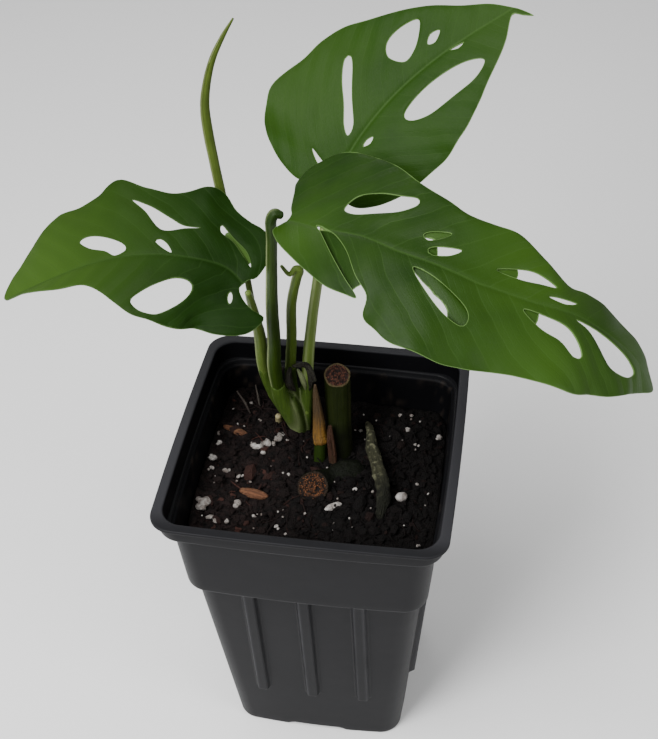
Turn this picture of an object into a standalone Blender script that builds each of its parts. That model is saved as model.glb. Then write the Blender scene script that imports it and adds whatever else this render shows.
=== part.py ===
"""A young monstera adansonii in a square nursery pot.

Units in the design values are millimetres, turned into Blender's metres by MM.
The origin is under the middle of the pot, on the surface it stands on. +Z is up
and -Y is the front of the pot.
"""

import math
import random

import bmesh
import bpy
from mathutils import Vector
from mathutils.geometry import delaunay_2d_cdt

MM = 0.001
GAP = 0.35

# Pot: square, with a flanged rim, a band under it and a narrower ribbed lower body
POT_HEIGHT = 140.0
RIM_HALF = 52.5
RIM_CORNER = 8.6
LIP_THICKNESS = 1.3
BAND_HALF = 50.8
BAND_DEPTH = 8.0
MOUTH_HALF = 48.7
SHOULDER_HALF = 47.3
STEP_Z = 99.0
STEP_HALF = 45.2
LOWER_HALF = 42.7
BASE_HALF = 34.7
WALL = 1.2
SIDE_BOW = 1.0
FLOOR_Z = 4.0
FOOT_HEIGHT = 2.2
RIB_CENTRES = (-20.5, 0.0, 20.5)
RIB_WIDTH = 6.4
RIB_DRAFT = 0.9
RIB_STANDS = 2.2
RIB_END_Z = 30.0
NOTCH_HALF = 13.0
NOTCH_FLARE = 4.0
NOTCH_TAPER = 0.42
HUB_RADIUS = 7.0
DRAIN_RADIUS = 2.8
DRAIN_REACH = 22.0
DRAIN_NUDGE = 0.2
CORNER_STEPS = 4

# Potting mix
SOIL_Z = 117.0
SOIL_SLOPE = 0.055
SOIL_EDGE_DROP = 1.5
SOIL_LUMP = 1.3
SOIL_GRID = 14

# Leaf blades
BLADE_THICKNESS = 0.8
MIDRIB_DEPTH = 1.1
MIDRIB_HALF_WIDTH = 1.4
MESH_STEP = 7.5
FOLD_REACH = 35.0

# Colours as linear red, green, blue
POT_BLACK = (0.03, 0.03, 0.034)
SOIL_BROWN = (0.022, 0.013, 0.011)
LEAF_GREEN = (0.05, 0.14, 0.02)
LEAF_PALE = (0.09, 0.2, 0.05)
STALK_GREEN = (0.12, 0.24, 0.06)
SPEAR_OLIVE = (0.2, 0.27, 0.08)
SHEATH_OCHRE = (0.5, 0.26, 0.06)
SHEATH_DARK = (0.05, 0.035, 0.03)
PAPER_BROWN = (0.18, 0.1, 0.06)
OLD_STEM_GREEN = (0.05, 0.09, 0.035)
CUT_BROWN = (0.17, 0.09, 0.06)
ROOT_GREY = (0.16, 0.17, 0.1)
ROOT_CREAM = (0.6, 0.55, 0.36)
PERLITE_GREY = (0.55, 0.53, 0.52)
BARK_RED = (0.3, 0.11, 0.06)


def material(name, colour, roughness):
    """Make one plain Principled material."""
    made = bpy.data.materials.new(name)
    made.use_nodes = True
    shader = made.node_tree.nodes["Principled BSDF"]
    shader.inputs["Base Color"].default_value = (*colour, 1.0)
    shader.inputs["Roughness"].default_value = roughness
    shader.inputs["Metallic"].default_value = 0.0
    return made


def add_object(name, points, faces, surface, smooth=True):
    """Put a mesh given in millimetres into the scene as a named object."""
    mesh = bpy.data.meshes.new(name)
    mesh.from_pydata([Vector(point) * MM for point in points], [], faces)
    work = bmesh.new()
    work.from_mesh(mesh)
    bmesh.ops.recalc_face_normals(work, faces=work.faces)
    work.to_mesh(mesh)
    work.free()
    if smooth:
        mesh.shade_smooth()
        mesh.set_sharp_from_angle(angle=math.radians(35))
    made = bpy.data.objects.new(name, mesh)
    bpy.context.scene.collection.objects.link(made)
    if surface is not None:
        mesh.materials.append(surface)
    return made


def subtract(body, cutter):
    """Cut one object out of another, and keep the cutter hidden."""
    cut = body.modifiers.new("cut " + cutter.name, "BOOLEAN")
    cut.operation = "DIFFERENCE"
    cut.solver = "EXACT"
    cut.object = cutter
    cutter.hide_render = True
    cutter.display_type = "WIRE"


def through(stations, share):
    """Read a smooth curve through evenly spaced stations at a share from 0 to 1."""
    last = len(stations) - 1
    place = min(max(share, 0.0), 1.0) * last
    left = min(int(place), last - 1)
    f = place - left
    b = Vector(stations[left])
    c = Vector(stations[left + 1])
    a = Vector(stations[left - 1]) if left > 0 else 2 * b - c
    d = Vector(stations[left + 2]) if left + 2 <= last else 2 * c - b
    return catmull(a, b, c, d, f)


def catmull(a, b, c, d, f):
    """Point at share f between b and c on the smooth curve through four points."""
    square = 2 * a - 5 * b + 4 * c - d
    cube = 3 * b - a - 3 * c + d
    return 0.5 * (2 * b + (c - a) * f + square * f * f + cube * f ** 3)


def loft(rings):
    """Return the points and faces of a closed body through rings of equal length."""
    count = len(rings[0])
    points = [point for ring in rings for point in ring]
    faces = []
    for level in range(len(rings) - 1):
        low = level * count
        high = low + count
        for i in range(count):
            j = (i + 1) % count
            faces.append((low + i, low + j, high + j, high + i))
    faces.append(tuple(reversed(range(count))))
    faces.append(tuple(range(len(points) - count, len(points))))
    return points, faces


def tube_rings(route, radii, sides, steps, grow=0.0, spread=1.0, face=None):
    """Return rings of a stalk along a smooth route.

    The section is round, or wider across than deep where spread is above 1. The far
    end is square to the route, or cut across with the given face normal.
    """
    rings = []
    side = None
    for k in range(steps + 1):
        share = k / steps
        centre = through(route, share)
        ahead = through(route, min(share + 0.01, 1.0)) - through(route, max(share - 0.01, 0.0))
        ahead.normalize()
        if side is None:
            side = ahead.cross(Vector((0.0, 1.0, 0.13))).normalized()
        side = (side - ahead * side.dot(ahead)).normalized()
        across = ahead.cross(side)
        radius = through([(r, 0.0, 0.0) for r in radii], share).x + grow
        ring = []
        for i in range(sides):
            turn = 2 * math.pi * i / sides
            ring.append(centre + (side * math.cos(turn) * spread + across * math.sin(turn)) * radius)
        rings.append(ring)
    if face is not None:
        normal = Vector(face).normalized()
        ahead = (through(route, 1.0) - through(route, 0.99)).normalized()
        end = through(route, 1.0)
        rings[-1] = [point - ahead * ((point - end).dot(normal) / ahead.dot(normal)) for point in rings[-1]]
    return rings


def stalk(name, route, radii, surface, sides=9, steps=10, grow=0.0, spread=1.0, face=None):
    """Make a tapering stalk, or the same shape grown by a margin as a cutter."""
    points, faces = loft(tube_rings(route, radii, sides, steps, grow, spread, face))
    return add_object(name, points, faces, surface)


def square_ring(z, half, corner, rib=0.0, bow=SIDE_BOW):
    """Return a rounded square ring, with three ribs on each side if rib is above zero."""
    side = []
    for centre in RIB_CENTRES:
        foot = RIB_WIDTH / 2
        top = foot - RIB_DRAFT
        side += [(centre - foot, 0.0), (centre - top, rib), (centre + top, rib), (centre + foot, 0.0)]
    reach = half - corner
    widest = RIB_CENTRES[-1] + RIB_WIDTH / 2
    ring = []
    for quarter in range(4):
        turn = quarter * math.pi / 2
        line = []
        for along, out in side:
            along *= min(1.0, (reach - 0.6) / widest)
            line.append((along, -(half + out + bow * (1 - (along / reach) ** 2))))
        for k in range(CORNER_STEPS + 1):
            angle = -math.pi / 2 + k * math.pi / 2 / CORNER_STEPS
            line.append((reach + corner * math.cos(angle), -reach + corner * math.sin(angle)))
        for x, y in line:
            turned_x = x * math.cos(turn) - y * math.sin(turn)
            turned_y = x * math.sin(turn) + y * math.cos(turn)
            ring.append((turned_x, turned_y, z))
    return ring


def lower_half(z):
    """Half width of the lower body at a height."""
    return BASE_HALF + (LOWER_HALF - BASE_HALF) * z / STEP_Z


def upper_half(z):
    """Half width of the upper body at a height."""
    return STEP_HALF + (SHOULDER_HALF - STEP_HALF) * (z - STEP_Z) / (POT_HEIGHT - BAND_DEPTH - STEP_Z)


def build_pot():
    """Build the pot with its feet, drain holes and ribs."""
    band_z = POT_HEIGHT - BAND_DEPTH
    lip_z = POT_HEIGHT - LIP_THICKNESS
    rib_top = STEP_Z - 2.0
    rings = [
        square_ring(0.0, BASE_HALF - 1.3, 8.0),
        square_ring(1.4, lower_half(1.4), 9.0),
        square_ring(RIB_END_Z - 2.0, lower_half(RIB_END_Z), 9.0),
        square_ring(RIB_END_Z + 1.5, lower_half(RIB_END_Z + 1.5), 9.0, RIB_STANDS),
        square_ring(rib_top, lower_half(rib_top), 9.0, RIB_STANDS),
        square_ring(STEP_Z - 0.4, STEP_HALF - 0.3, 9.0, 0.3),
        square_ring(STEP_Z + 0.8, upper_half(STEP_Z + 0.8), 9.0),
        square_ring(band_z, SHOULDER_HALF, 9.0),
        square_ring(band_z + 0.8, BAND_HALF - 0.3, 9.0),
        square_ring(lip_z, BAND_HALF, 9.0),
        square_ring(lip_z + 0.3, RIM_HALF, RIM_CORNER, bow=0.6),
        square_ring(POT_HEIGHT - 0.3, RIM_HALF, RIM_CORNER, bow=0.6),
        square_ring(POT_HEIGHT, RIM_HALF - 0.5, RIM_CORNER, bow=0.6),
        square_ring(POT_HEIGHT, MOUTH_HALF + 0.3, 8.0, bow=0.6),
        square_ring(POT_HEIGHT - 0.6, MOUTH_HALF, 8.0, bow=0.6),
        square_ring(band_z - 1.0, MOUTH_HALF - 0.5, 8.0, bow=0.6),
        square_ring(band_z - 2.0, SHOULDER_HALF - WALL, 8.0),
        square_ring(STEP_Z, STEP_HALF - WALL, 8.0),
        square_ring(STEP_Z - 2.0, LOWER_HALF - WALL, 8.0),
        square_ring(FLOOR_Z, lower_half(FLOOR_Z) - WALL, 8.0),
    ]
    points, faces = loft(rings)
    pot = add_object("pot", points, faces, material("pot plastic", POT_BLACK, 0.4))
    for quarter in range(4):
        turn = quarter * math.pi / 2
        subtract(pot, foot_notch(quarter, turn))
        for nudge in (-DRAIN_NUDGE, DRAIN_NUDGE):
            subtract(pot, drain_cutter(f"drain {quarter} {nudge}", turn + nudge))
    return pot


def foot_notch(quarter, turn):
    """Shape the raised gap between two corner feet, from the hub pad outward."""
    below = -1.0
    half = NOTCH_HALF + NOTCH_FLARE
    flat = [(-NOTCH_HALF, FOOT_HEIGHT), (NOTCH_HALF, FOOT_HEIGHT), (half, below), (-half, below)]
    rings = []
    for reach, share in ((HUB_RADIUS, NOTCH_TAPER), (BASE_HALF + 6.0, 1.0)):
        ring = []
        for across, z in flat:
            x = across * share * math.cos(turn) + reach * math.sin(turn)
            y = across * share * math.sin(turn) - reach * math.cos(turn)
            ring.append((x, y, z))
        rings.append(ring)
    points, faces = loft(rings)
    return cutter_object(f"foot notch {quarter}", points, faces)


def cutter_object(name, points, faces):
    """Make a hidden cutting shape."""
    made = add_object(name, points, faces, None, smooth=False)
    made.hide_render = True
    made.display_type = "WIRE"
    return made


def drain_cutter(name, turn):
    """Make the round cutter of one drain hole."""
    x = DRAIN_REACH * math.sin(turn)
    y = -DRAIN_REACH * math.cos(turn)
    rings = []
    for z in (-2.0, FLOOR_Z + 2.0):
        ring = []
        for i in range(10):
            angle = 2 * math.pi * i / 10
            ring.append((x + DRAIN_RADIUS * math.cos(angle), y + DRAIN_RADIUS * math.sin(angle), z))
        rings.append(ring)
    points, faces = loft(rings)
    return cutter_object(name, points, faces)


def soil_height(x, y):
    """Height of the potting mix without its lumps: highest at the left, lower at the wall."""
    edge = max(abs(x), abs(y)) / SHOULDER_HALF
    swell = 1.0 * math.sin(x * 0.11 + 1.0) * math.cos(y * 0.09 + 0.5)
    return SOIL_Z - SOIL_SLOPE * x + swell - SOIL_EDGE_DROP * edge ** 4


def build_soil():
    """Build the potting mix, which fills the pot and has a lumpy top."""
    draw = random.Random(7)
    inner = WALL + GAP
    rings = [
        square_ring(FLOOR_Z + GAP, lower_half(FLOOR_Z) - inner, 8.0),
        square_ring(STEP_Z - 2.0, LOWER_HALF - inner - 0.1, 8.0),
        square_ring(STEP_Z + 0.3, STEP_HALF - inner - 0.1, 8.0),
    ]
    flat_top = square_ring(SOIL_Z, upper_half(SOIL_Z - 6.0) - inner, 8.0)
    top = [(x, y, soil_height(x, y)) for x, y, z in flat_top]
    rings.append(top)
    points, faces = loft(rings)
    faces.pop()
    start = len(points) - len(top)
    outline = [(point[0], point[1]) for point in top]
    inside = []
    reach = upper_half(SOIL_Z) - inner - 4.0
    for i in range(SOIL_GRID):
        for j in range(SOIL_GRID):
            x = -reach + 2 * reach * i / (SOIL_GRID - 1) + draw.uniform(-1.5, 1.5)
            y = -reach + 2 * reach * j / (SOIL_GRID - 1) + draw.uniform(-1.5, 1.5)
            if math.hypot(max(abs(x) - 36, 0), max(abs(y) - 36, 0)) < 7.0:
                inside.append((x, y))
    flat = outline + inside
    edges = [(i, (i + 1) % len(outline)) for i in range(len(outline))]
    triangles = triangulate(flat, edges, [outline])
    for x, y in inside:
        points.append((x, y, soil_height(x, y) + draw.uniform(-SOIL_LUMP, SOIL_LUMP)))
    for triangle in triangles:
        faces.append(tuple(start + i for i in triangle))
    return add_object("potting_mix", points, faces, material("potting mix", SOIL_BROWN, 0.95), smooth=False)


def inside_loop(point, loop):
    """Tell whether a flat point lies inside a closed loop."""
    x, y = point
    within = False
    for i in range(len(loop)):
        x1, y1 = loop[i - 1]
        x2, y2 = loop[i]
        if (y1 > y) != (y2 > y) and x < (x2 - x1) * (y - y1) / (y2 - y1) + x1:
            within = not within
    return within


def loop_distance(point, loop):
    """Distance from a flat point to a closed loop."""
    best = 1e9
    p = Vector(point)
    for i in range(len(loop)):
        a = Vector(loop[i - 1])
        b = Vector(loop[i])
        run = b - a
        share = min(max((p - a).dot(run) / max(run.length_squared, 1e-9), 0.0), 1.0)
        best = min(best, (p - a - run * share).length)
    return best


def triangulate(flat, edges, loops):
    """Split a flat outline with holes into triangles; the first loop is the outline."""
    made = delaunay_2d_cdt([Vector(point) for point in flat], edges, [], 0, 1e-5)
    triangles = []
    for face in made[2]:
        centre = sum((made[0][i] for i in face), Vector((0.0, 0.0))) / len(face)
        if inside_loop(centre, loops[0]) and not any(inside_loop(centre, hole) for hole in loops[1:]):
            triangles.append(tuple(made[3][i][0] for i in face))
    return triangles


def smooth_loop(corners, step):
    """Sample a closed smooth curve through the given flat points."""
    count = len(corners)
    loop = []
    for i in range(count):
        a, b, c, d = (Vector(corners[(i + k) % count]) for k in (-1, 0, 1, 2))
        pieces = max(1, round((c - b).length / step))
        for k in range(pieces):
            loop.append(tuple(catmull(a, b, c, d, k / pieces)))
    return loop


class Blade:
    """A leaf blade: a midrib in space, a fold either side of it and ripples along its edges.

    Flat places on the blade are (along, across): millimetres along the midrib from its
    base, and millimetres to its right (above zero) or left (below zero).
    """

    def __init__(self, name, midrib, roll, left_fold, right_fold, ripples, outline, holes, colour):
        self.name = name
        self.midrib = midrib
        self.roll = roll
        self.folds = {-1: left_fold, 1: right_fold}
        self.ripples = ripples
        self.outline = outline
        self.holes = holes
        self.colour = colour
        self.lengths = [0.0]
        fine = 240
        here = through(midrib, 0.0)
        for k in range(1, fine + 1):
            there = through(midrib, k / fine)
            self.lengths.append(self.lengths[-1] + (there - here).length)
            here = there
        self.length = self.lengths[-1]

    def rib_point(self, along):
        """Point of the midrib at a distance along it, run on straight past its ends."""
        fine = len(self.lengths) - 1
        held = min(max(along, 0.0), self.length)
        low, high = 0, fine
        while high - low > 1:
            middle = (low + high) // 2
            if self.lengths[middle] <= held:
                low = middle
            else:
                high = middle
        share = (low + (held - self.lengths[low]) / (self.lengths[high] - self.lengths[low])) / fine
        ahead = through(self.midrib, min(share + 0.01, 1.0)) - through(self.midrib, max(share - 0.01, 0.0))
        ahead.normalize()
        return through(self.midrib, share) + ahead * (along - held), ahead

    def place(self, along, across):
        """Point in space of a flat place on the blade's middle surface."""
        centre, ahead = self.rib_point(along)
        share = min(max(along / self.length, 0.0), 1.0)
        level = ahead.cross(Vector((0.0, 0.0, 1.0))).normalized()
        above = level.cross(ahead)
        tilt = math.radians(through([(r, 0.0, 0.0) for r in self.roll], share).x)
        right = level * math.cos(tilt) + above * math.sin(tilt)
        up = above * math.cos(tilt) - level * math.sin(tilt)
        side = 1 if across >= 0 else -1
        fold = through([(a, b, 0.0) for a, b in self.folds[side]], share)
        start = math.radians(fold.x)
        bend = math.radians(fold.y - fold.x) / FOLD_REACH
        if abs(bend) < 1e-6:
            bend = 1e-6
        width = abs(across)
        out = (math.sin(start + bend * width) - math.sin(start)) / bend
        lift = (math.cos(start) - math.cos(start + bend * width)) / bend
        for height, reach, middle, ripple_side in self.ripples:
            if ripple_side == side and abs(along - middle) < reach:
                wave = math.cos(math.pi / 2 * (along - middle) / reach) ** 2
                lift += height * wave * (width / FOLD_REACH) ** 2
        return centre + right * (side * out) + up * lift

    def normal(self, along, across):
        """Upward normal of the middle surface."""
        small = 0.3
        run = self.place(along + small, across) - self.place(along - small, across)
        reach = self.place(along, across + small) - self.place(along, across - small)
        return reach.cross(run).normalized()

    def flat_points(self, loops):
        """Points inside the loops: a staggered grid and three rows along the midrib."""
        reach = 45.0
        beside_rib = 4.0
        behind_base = -3
        points = []
        for row in (-MIDRIB_HALF_WIDTH, 0.0, MIDRIB_HALF_WIDTH):
            count = int(self.length / MESH_STEP)
            for k in range(1, count):
                points.append((k * self.length / count, row))
        for i in range(int(2 * reach / MESH_STEP) + 1):
            across = -reach + i * MESH_STEP
            if abs(across) < beside_rib:
                continue
            shift = MESH_STEP / 2 if i % 2 else 0.0
            for k in range(behind_base, int(self.length / MESH_STEP) + 1):
                points.append((k * MESH_STEP + shift, across))
        kept = []
        for point in points:
            clear = 1.0 if abs(point[1]) < 2.0 else MESH_STEP * 0.4
            if not inside_loop(point, loops[0]) or any(inside_loop(point, hole) for hole in loops[1:]):
                continue
            if min(loop_distance(point, loop) for loop in loops) > clear:
                kept.append(point)
        return kept

    def build(self):
        """Make the blade as one closed body with the same triangles on both faces."""
        loops = [smooth_loop(self.outline, 5.0)] + [smooth_loop(hole, 5.0) for hole in self.holes]
        flat = []
        edges = []
        for loop in loops:
            start = len(flat)
            flat += loop
            edges += [(start + i, start + (i + 1) % len(loop)) for i in range(len(loop))]
        flat += self.flat_points(loops)
        triangles = triangulate(flat, edges, loops)
        used = sorted({i for triangle in triangles for i in triangle})
        order = {old: new for new, old in enumerate(used)}
        top = []
        under = []
        for i in used:
            along, across = flat[i]
            spot = self.place(along, across)
            up = self.normal(along, across)
            rib = 0.0
            if abs(across) < MIDRIB_HALF_WIDTH * 0.9:
                rib = MIDRIB_DEPTH * max(0.2, 1 - max(along, 0.0) / self.length)
            top.append(spot + up * BLADE_THICKNESS / 2)
            under.append(spot - up * (BLADE_THICKNESS / 2 + rib))
        count = len(used)
        faces = []
        border = {}
        for triangle in triangles:
            a, b, c = (order[i] for i in triangle)
            faces.append((a, b, c))
            faces.append((c + count, b + count, a + count))
            for edge in ((a, b), (b, c), (c, a)):
                if (edge[1], edge[0]) in border:
                    del border[(edge[1], edge[0])]
                else:
                    border[edge] = True
        for a, b in border:
            faces.append((b, a, a + count, b + count))
        surface = material(self.name.replace("_", " "), self.colour, 0.45)
        return add_object(self.name, top + under, faces, surface)


RIGHT_LEAF = Blade(
    "leaf_right",
    midrib=[(-10, 14, 226.5), (3, 7.5, 231.5), (22, -1, 235), (42, -8, 234), (62, -12.5, 229),
            (80, -14, 221), (95, -11.5, 210), (106, -9, 198), (113.5, -8.5, 185)],
    roll=[-8, -10, -12, -12, -5],
    left_fold=[(12, 6), (14, 8), (14, 4), (8, -18), (4, -30)],
    right_fold=[(0, -20), (-2, -26), (-4, -28), (-8, -30), (-5, -30)],
    ripples=[(2, 16, 8, -1), (-2, 12, 54, -1), (2.5, 12, 77, -1), (-3, 11, 101, -1), (2.5, 14, 116, -1),
             (2, 10, 25, 1), (-3, 8, 45, 1), (2.5, 12, 64, 1), (-2, 10, 86, 1), (2.5, 10, 104, 1),
             (-2, 14, 124, 1)],
    outline=[(1, -2), (-1, -5), (-4, -12), (-6, -17), (-4, -24), (4, -28.5), (17, -29), (31, -26),
             (43, -21), (54, -18.5), (62, -16), (71, -16), (80, -16.5), (91, -13), (102, -9.5),
             (110, -11), (119, -11.5), (129, -11), (139, -9.5), (146, -6), (151, -1), (145, 6),
             (137, 13), (126, 19.5), (117, 23), (108, 26.5), (97, 27), (87, 29), (78, 32.5), (69, 34.5),
             (58, 34.5), (50, 31), (45.5, 28), (44, 22), (38, 17.5), (31, 10), (23, 4.5), (15, 2.2),
             (19, 5.5), (28, 13.5), (36, 20), (41.5, 24), (35, 24.5), (28, 23.5), (18, 19), (8.5, 14),
             (2.5, 10), (-2, 5.5), (0, 2)],
    holes=[
        [(21.5, -6), (24, -11.5), (31, -14), (38, -14.7), (44, -15.5), (45, -13), (40.5, -9), (34, -6.5),
         (26, -4.5)],
        [(51.5, -4), (54, -6), (59.5, -7.5), (57, -4.5), (53.5, -2.6)],
        [(55, 0.5), (57, -1.5), (64.5, -3.5), (62, -0.3), (57, 1.8)],
        [(77, -2), (82.5, -5), (89, -7), (97, -6), (91, -4), (84.5, -2.3)],
        [(95.5, -1.5), (99, -3), (106, -4.5), (101.5, -2)],
        [(53.5, 8.5), (58.5, 8.5), (66, 11), (73, 14.5), (75, 18), (73.5, 20.5), (67, 19), (59.5, 14)],
        [(89, 6.7), (96, 5.4), (103, 5.5), (107.5, 8.5), (110, 13), (107, 14.5), (102, 11.3), (95.5, 10)],
        [(106.5, 1.4), (115, 1), (125, 1.8), (132, 3), (136, 5.3), (131, 10), (123, 11), (117, 6.6),
         (111.5, 2.8)],
    ],
    colour=LEAF_GREEN,
)

LEFT_LEAF = Blade(
    "leaf_left",
    midrib=[(-25, 11, 199), (-33, 15.5, 203.5), (-44, 15.5, 206.5), (-60, 14.5, 207.5), (-78, 13, 204),
            (-97, 10.5, 196), (-116, 9.5, 185)],
    roll=[18, 18, 14, 10],
    left_fold=[(-2, -22), (-4, -26), (8, 0), (34, 30)],
    right_fold=[(6, -2), (8, 4), (6, 2), (4, -10)],
    ripples=[(3, 10, 50, 1), (-2, 7, 33, 1), (3, 8, 21, 1), (-2, 9, 66, 1), (2.5, 10, 84, 1),
             (2, 8, -8, -1), (-2, 10, 10, -1), (3, 12, 34, -1), (-2, 10, 54, -1)],
    outline=[(99.5, 1), (97.5, 9), (94, 14), (91, 18.5), (87, 21.5), (82, 25), (76.5, 28), (70, 28.5),
             (63, 27.5), (57, 28), (53, 30.3), (48.5, 31), (41, 27.5), (34, 25.5), (28, 26), (22.5, 28),
             (17, 27.5), (13.5, 22), (10.5, 19.5), (8, 19), (5.5, 14.5), (1.5, 10.5), (0, 5), (1.5, 2),
             (1.5, -2), (-2, -4), (-7, -4.5), (-12, -3.5), (-13, -7), (-12, -12), (-8, -17),
             (-1.5, -21.5), (8, -25), (18, -27), (27, -27), (35, -25.5), (43, -23), (50, -18), (56, -13),
             (63, -9), (72, -8), (82, -5), (91, -1.5)],
    holes=[
        [(64, 11), (61, 12), (55.5, 10), (48, 5.5), (46.5, 2.5), (50.5, 1), (54, 3.5), (60, 6.5)],
        [(45, 22.5), (39, 19.5), (32.5, 15), (27.5, 12), (22, 11.8), (27, 10.9), (32.5, 9.5), (36, 11),
         (40.5, 17.5)],
        [(36, 5), (34.5, 6), (32, 4.3), (30, 1), (33, 2.3)],
        [(43, -17.5), (39, -14.5), (32.5, -11), (25.5, -8), (18.5, -8.5), (15.5, -11), (18.5, -14.5),
         (25, -19), (32, -23), (38, -22.5), (42, -20)],
        [(3, -7), (2.5, -5), (0.3, -6.5), (-0.5, -9)],
        [(15.5, 14.8), (12, 11), (8, 8.5), (4.5, 5.7), (8.5, 7), (12, 10), (15.3, 12)],
    ],
    colour=LEAF_GREEN,
)

BACK_LEAF = Blade(
    "leaf_back",
    midrib=[(1, 48, 222), (10, 56, 236), (22, 64, 249), (38, 72, 261), (58, 80, 272.4)],
    roll=[-25, -28, -30],
    left_fold=[(8, -6), (8, -6), (8, -8)],
    right_fold=[(5, -14), (5, -14), (4, -18)],
    ripples=[(2, 14, 62, -1), (-2, 10, 38, -1), (2.5, 14, 12, -1), (2, 14, 50, 1), (-2, 10, 30, 1),
             (-2, 10, 70, 1)],
    outline=[(83, 2), (86, 4.2), (89, 6.5), (86.5, 2), (84, -1), (78.5, -6), (70, -11), (62, -17),
             (53.5, -22.5), (45, -27.5), (38, -33), (32, -34.5), (24.5, -35), (19, -36.5), (13.5, -37.5),
             (8.5, -35.5), (0.5, -32.5), (-4, -26), (-7, -18.5), (-8, -11), (-5, -4), (1, -1.5),
             (1, 1.5), (-4, 4), (-5, 12), (0, 19), (8, 25), (17.5, 28), (28, 29.3), (35.5, 29.5),
             (42, 28.5), (49, 27), (58, 22.5), (66.5, 17), (73, 12.5), (77.5, 8.5)],
    holes=[
        [(33.7, -22), (32, -22.8), (27, -18), (22, -12), (16.5, -7), (14.5, -3.8), (18.5, -4.5),
         (25, -11), (31.5, -18)],
        [(56.5, -15.5), (54.5, -11.5), (50, -7.5), (45, -6.3), (42, -11.5), (44.5, -16), (50.5, -17.2)],
        [(60.3, -7.5), (57, -5), (54.5, -6), (57, -8.3)],
        [(59.5, 0.5), (64.5, 1.2), (62, 1.9)],
        [(67.5, 11), (62.5, 8), (53.5, 6.5), (42.5, 6.4), (33, 8), (33.5, 11.7), (41, 15), (53, 15.5),
         (62, 14.5)],
        [(14.5, 3.3), (17, 3), (19.5, 4.3), (17, 4.9)],
        [(4.2, -12.5), (3, -9), (1.2, -4.5), (0.3, -7), (1.8, -10)],
    ],
    colour=LEAF_PALE,
)

# Stalks: routes in millimetres from the root upward, and radii along them
CROWN_ROUTE = [(-11, 26, 107), (-12.1, 24.9, 115), (-12.6, 23.1, 122), (-14, 21.6, 130),
               (-15.8, 21.3, 138), (-16.6, 21.3, 142.5)]
CROWN_RADII = (2.9, 3.2, 3.9, 4.8, 4.9, 3.6)
CROWN_SPREAD = 1.4
LEFT_STALK = [(-21.6, 22.5, 137), (-23.2, 22, 145), (-24.2, 21, 155), (-23.8, 18.7, 169), (-24, 16, 180),
              (-24.5, 13.3, 190.3), (-24.8, 11.2, 196.2)]
LEFT_STALK_RADII = (1.9, 2.2, 2.3, 2.2, 1.8, 1.5, 1.2)
RIGHT_STALK = [(-17.6, 19.2, 139), (-18.6, 18.3, 147), (-19, 17.4, 157.5), (-18.1, 16.4, 171),
               (-17.5, 15, 188.5), (-16.4, 14, 205), (-15.3, 13, 219), (-15.1, 12.9, 226),
               (-13.8, 13.3, 229), (-11.8, 13.8, 228.4)]
RIGHT_STALK_RADII = (2.3, 2.5, 2.6, 2.4, 2.2, 2.0, 1.9, 1.9, 1.8, 1.4)
OLD_STALK = [(-14.8, 24.6, 139), (-14.8, 25, 146), (-14.2, 25, 156), (-13.2, 24, 166),
             (-12, 22.3, 183.5), (-9.4, 21, 196), (-7.9, 20.8, 200.2), (-9.4, 20.4, 201.2),
             (-11.6, 19.8, 199), (-14, 19, 203)]
OLD_STALK_RADII = (1.9, 2.0, 2.0, 1.9, 1.8, 1.7, 1.4, 1.2, 0.9, 0.6)
BACK_STALK = [(-9.7, 24.6, 128), (-9.3, 26.4, 136), (-8.9, 28.5, 146), (-8.2, 31, 157),
              (-6.8, 34.2, 170.5), (-5.3, 37.5, 182), (-3.3, 42, 199), (-0.6, 46.2, 214),
              (0.4, 47.3, 219.6)]
BACK_STALK_RADII = (2.0, 2.2, 2.2, 2.1, 2.0, 1.9, 1.8, 1.6, 1.3)
NEW_LEAF = [(-21, 25.6, 136), (-24, 26.4, 143), (-26, 27.4, 156), (-28, 29, 171.5), (-29.5, 31, 181.5),
            (-31, 33, 190), (-34.5, 37, 197), (-38, 41.5, 206), (-40.3, 44.5, 215), (-42.2, 46.5, 227),
            (-43.6, 48, 238), (-44, 49, 247.5), (-42.5, 50, 256.5), (-40, 51, 264.5), (-36.2, 52, 272),
            (-32.4, 53, 278.5)]
NEW_LEAF_RADII = (1.1, 1.2, 1.2, 1.2, 1.2, 1.2, 1.3, 1.5, 1.7, 1.7, 1.75, 1.6, 1.35, 1.1, 0.8, 0.35)
YOUNG_STEM = [(-2.6, 9, 108), (-2.3, 10.5, 114), (-2, 13.3, 123.3)]
YOUNG_STEM_RADII = (2.2, 2.5, 2.5)
SHEATH_ROUTE = [(-2, 13.5, 124), (-2.5, 14.4, 127.5), (-3.1, 16, 135), (-4, 18, 144), (-4.2, 18.6, 148)]
SHEATH_RADII = (3.2, 2.8, 2.1, 1.2, 0.6)
HOOD_ROUTE = [(-4.6, 20.2, 148.8), (-5.6, 21.2, 150.8), (-8, 23.0, 153.6), (-10.8, 21.8, 154.6),
              (-13, 21.6, 153.8)]
HOOD_RADII = (0.8, 1.0, 1.1, 0.8, 0.5)
PAPER_ROUTE = [(3.6, 7.6, 112), (3.3, 8.6, 118), (2.4, 11, 126), (1.8, 13.4, 132)]
PAPER_RADII = (1.3, 1.5, 1.4, 0.7)
CUT_STEM_ROUTE = [(5.6, 13.5, 108), (5.2, 15.8, 117), (4.2, 19.8, 128), (3.6, 23.6, 138),
                  (3.0, 26.6, 146.6)]
CUT_STEM_RADII = (4.7, 4.8, 4.9, 5.0, 5.0)
CUT_STEM_FACE = (0.03, -0.18, 0.98)
VINE_ROUTE = [(15, 9.5, 110), (9.5, 6.5, 113.6), (3, 2, 113.6), (-1, -3.6, 117), (-1.5, -8.4, 121)]
VINE_RADII = (4.6, 6.0, 5.5, 5.6, 5.7)
CUT_FACE = (0.1, -0.7, 0.7)
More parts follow.
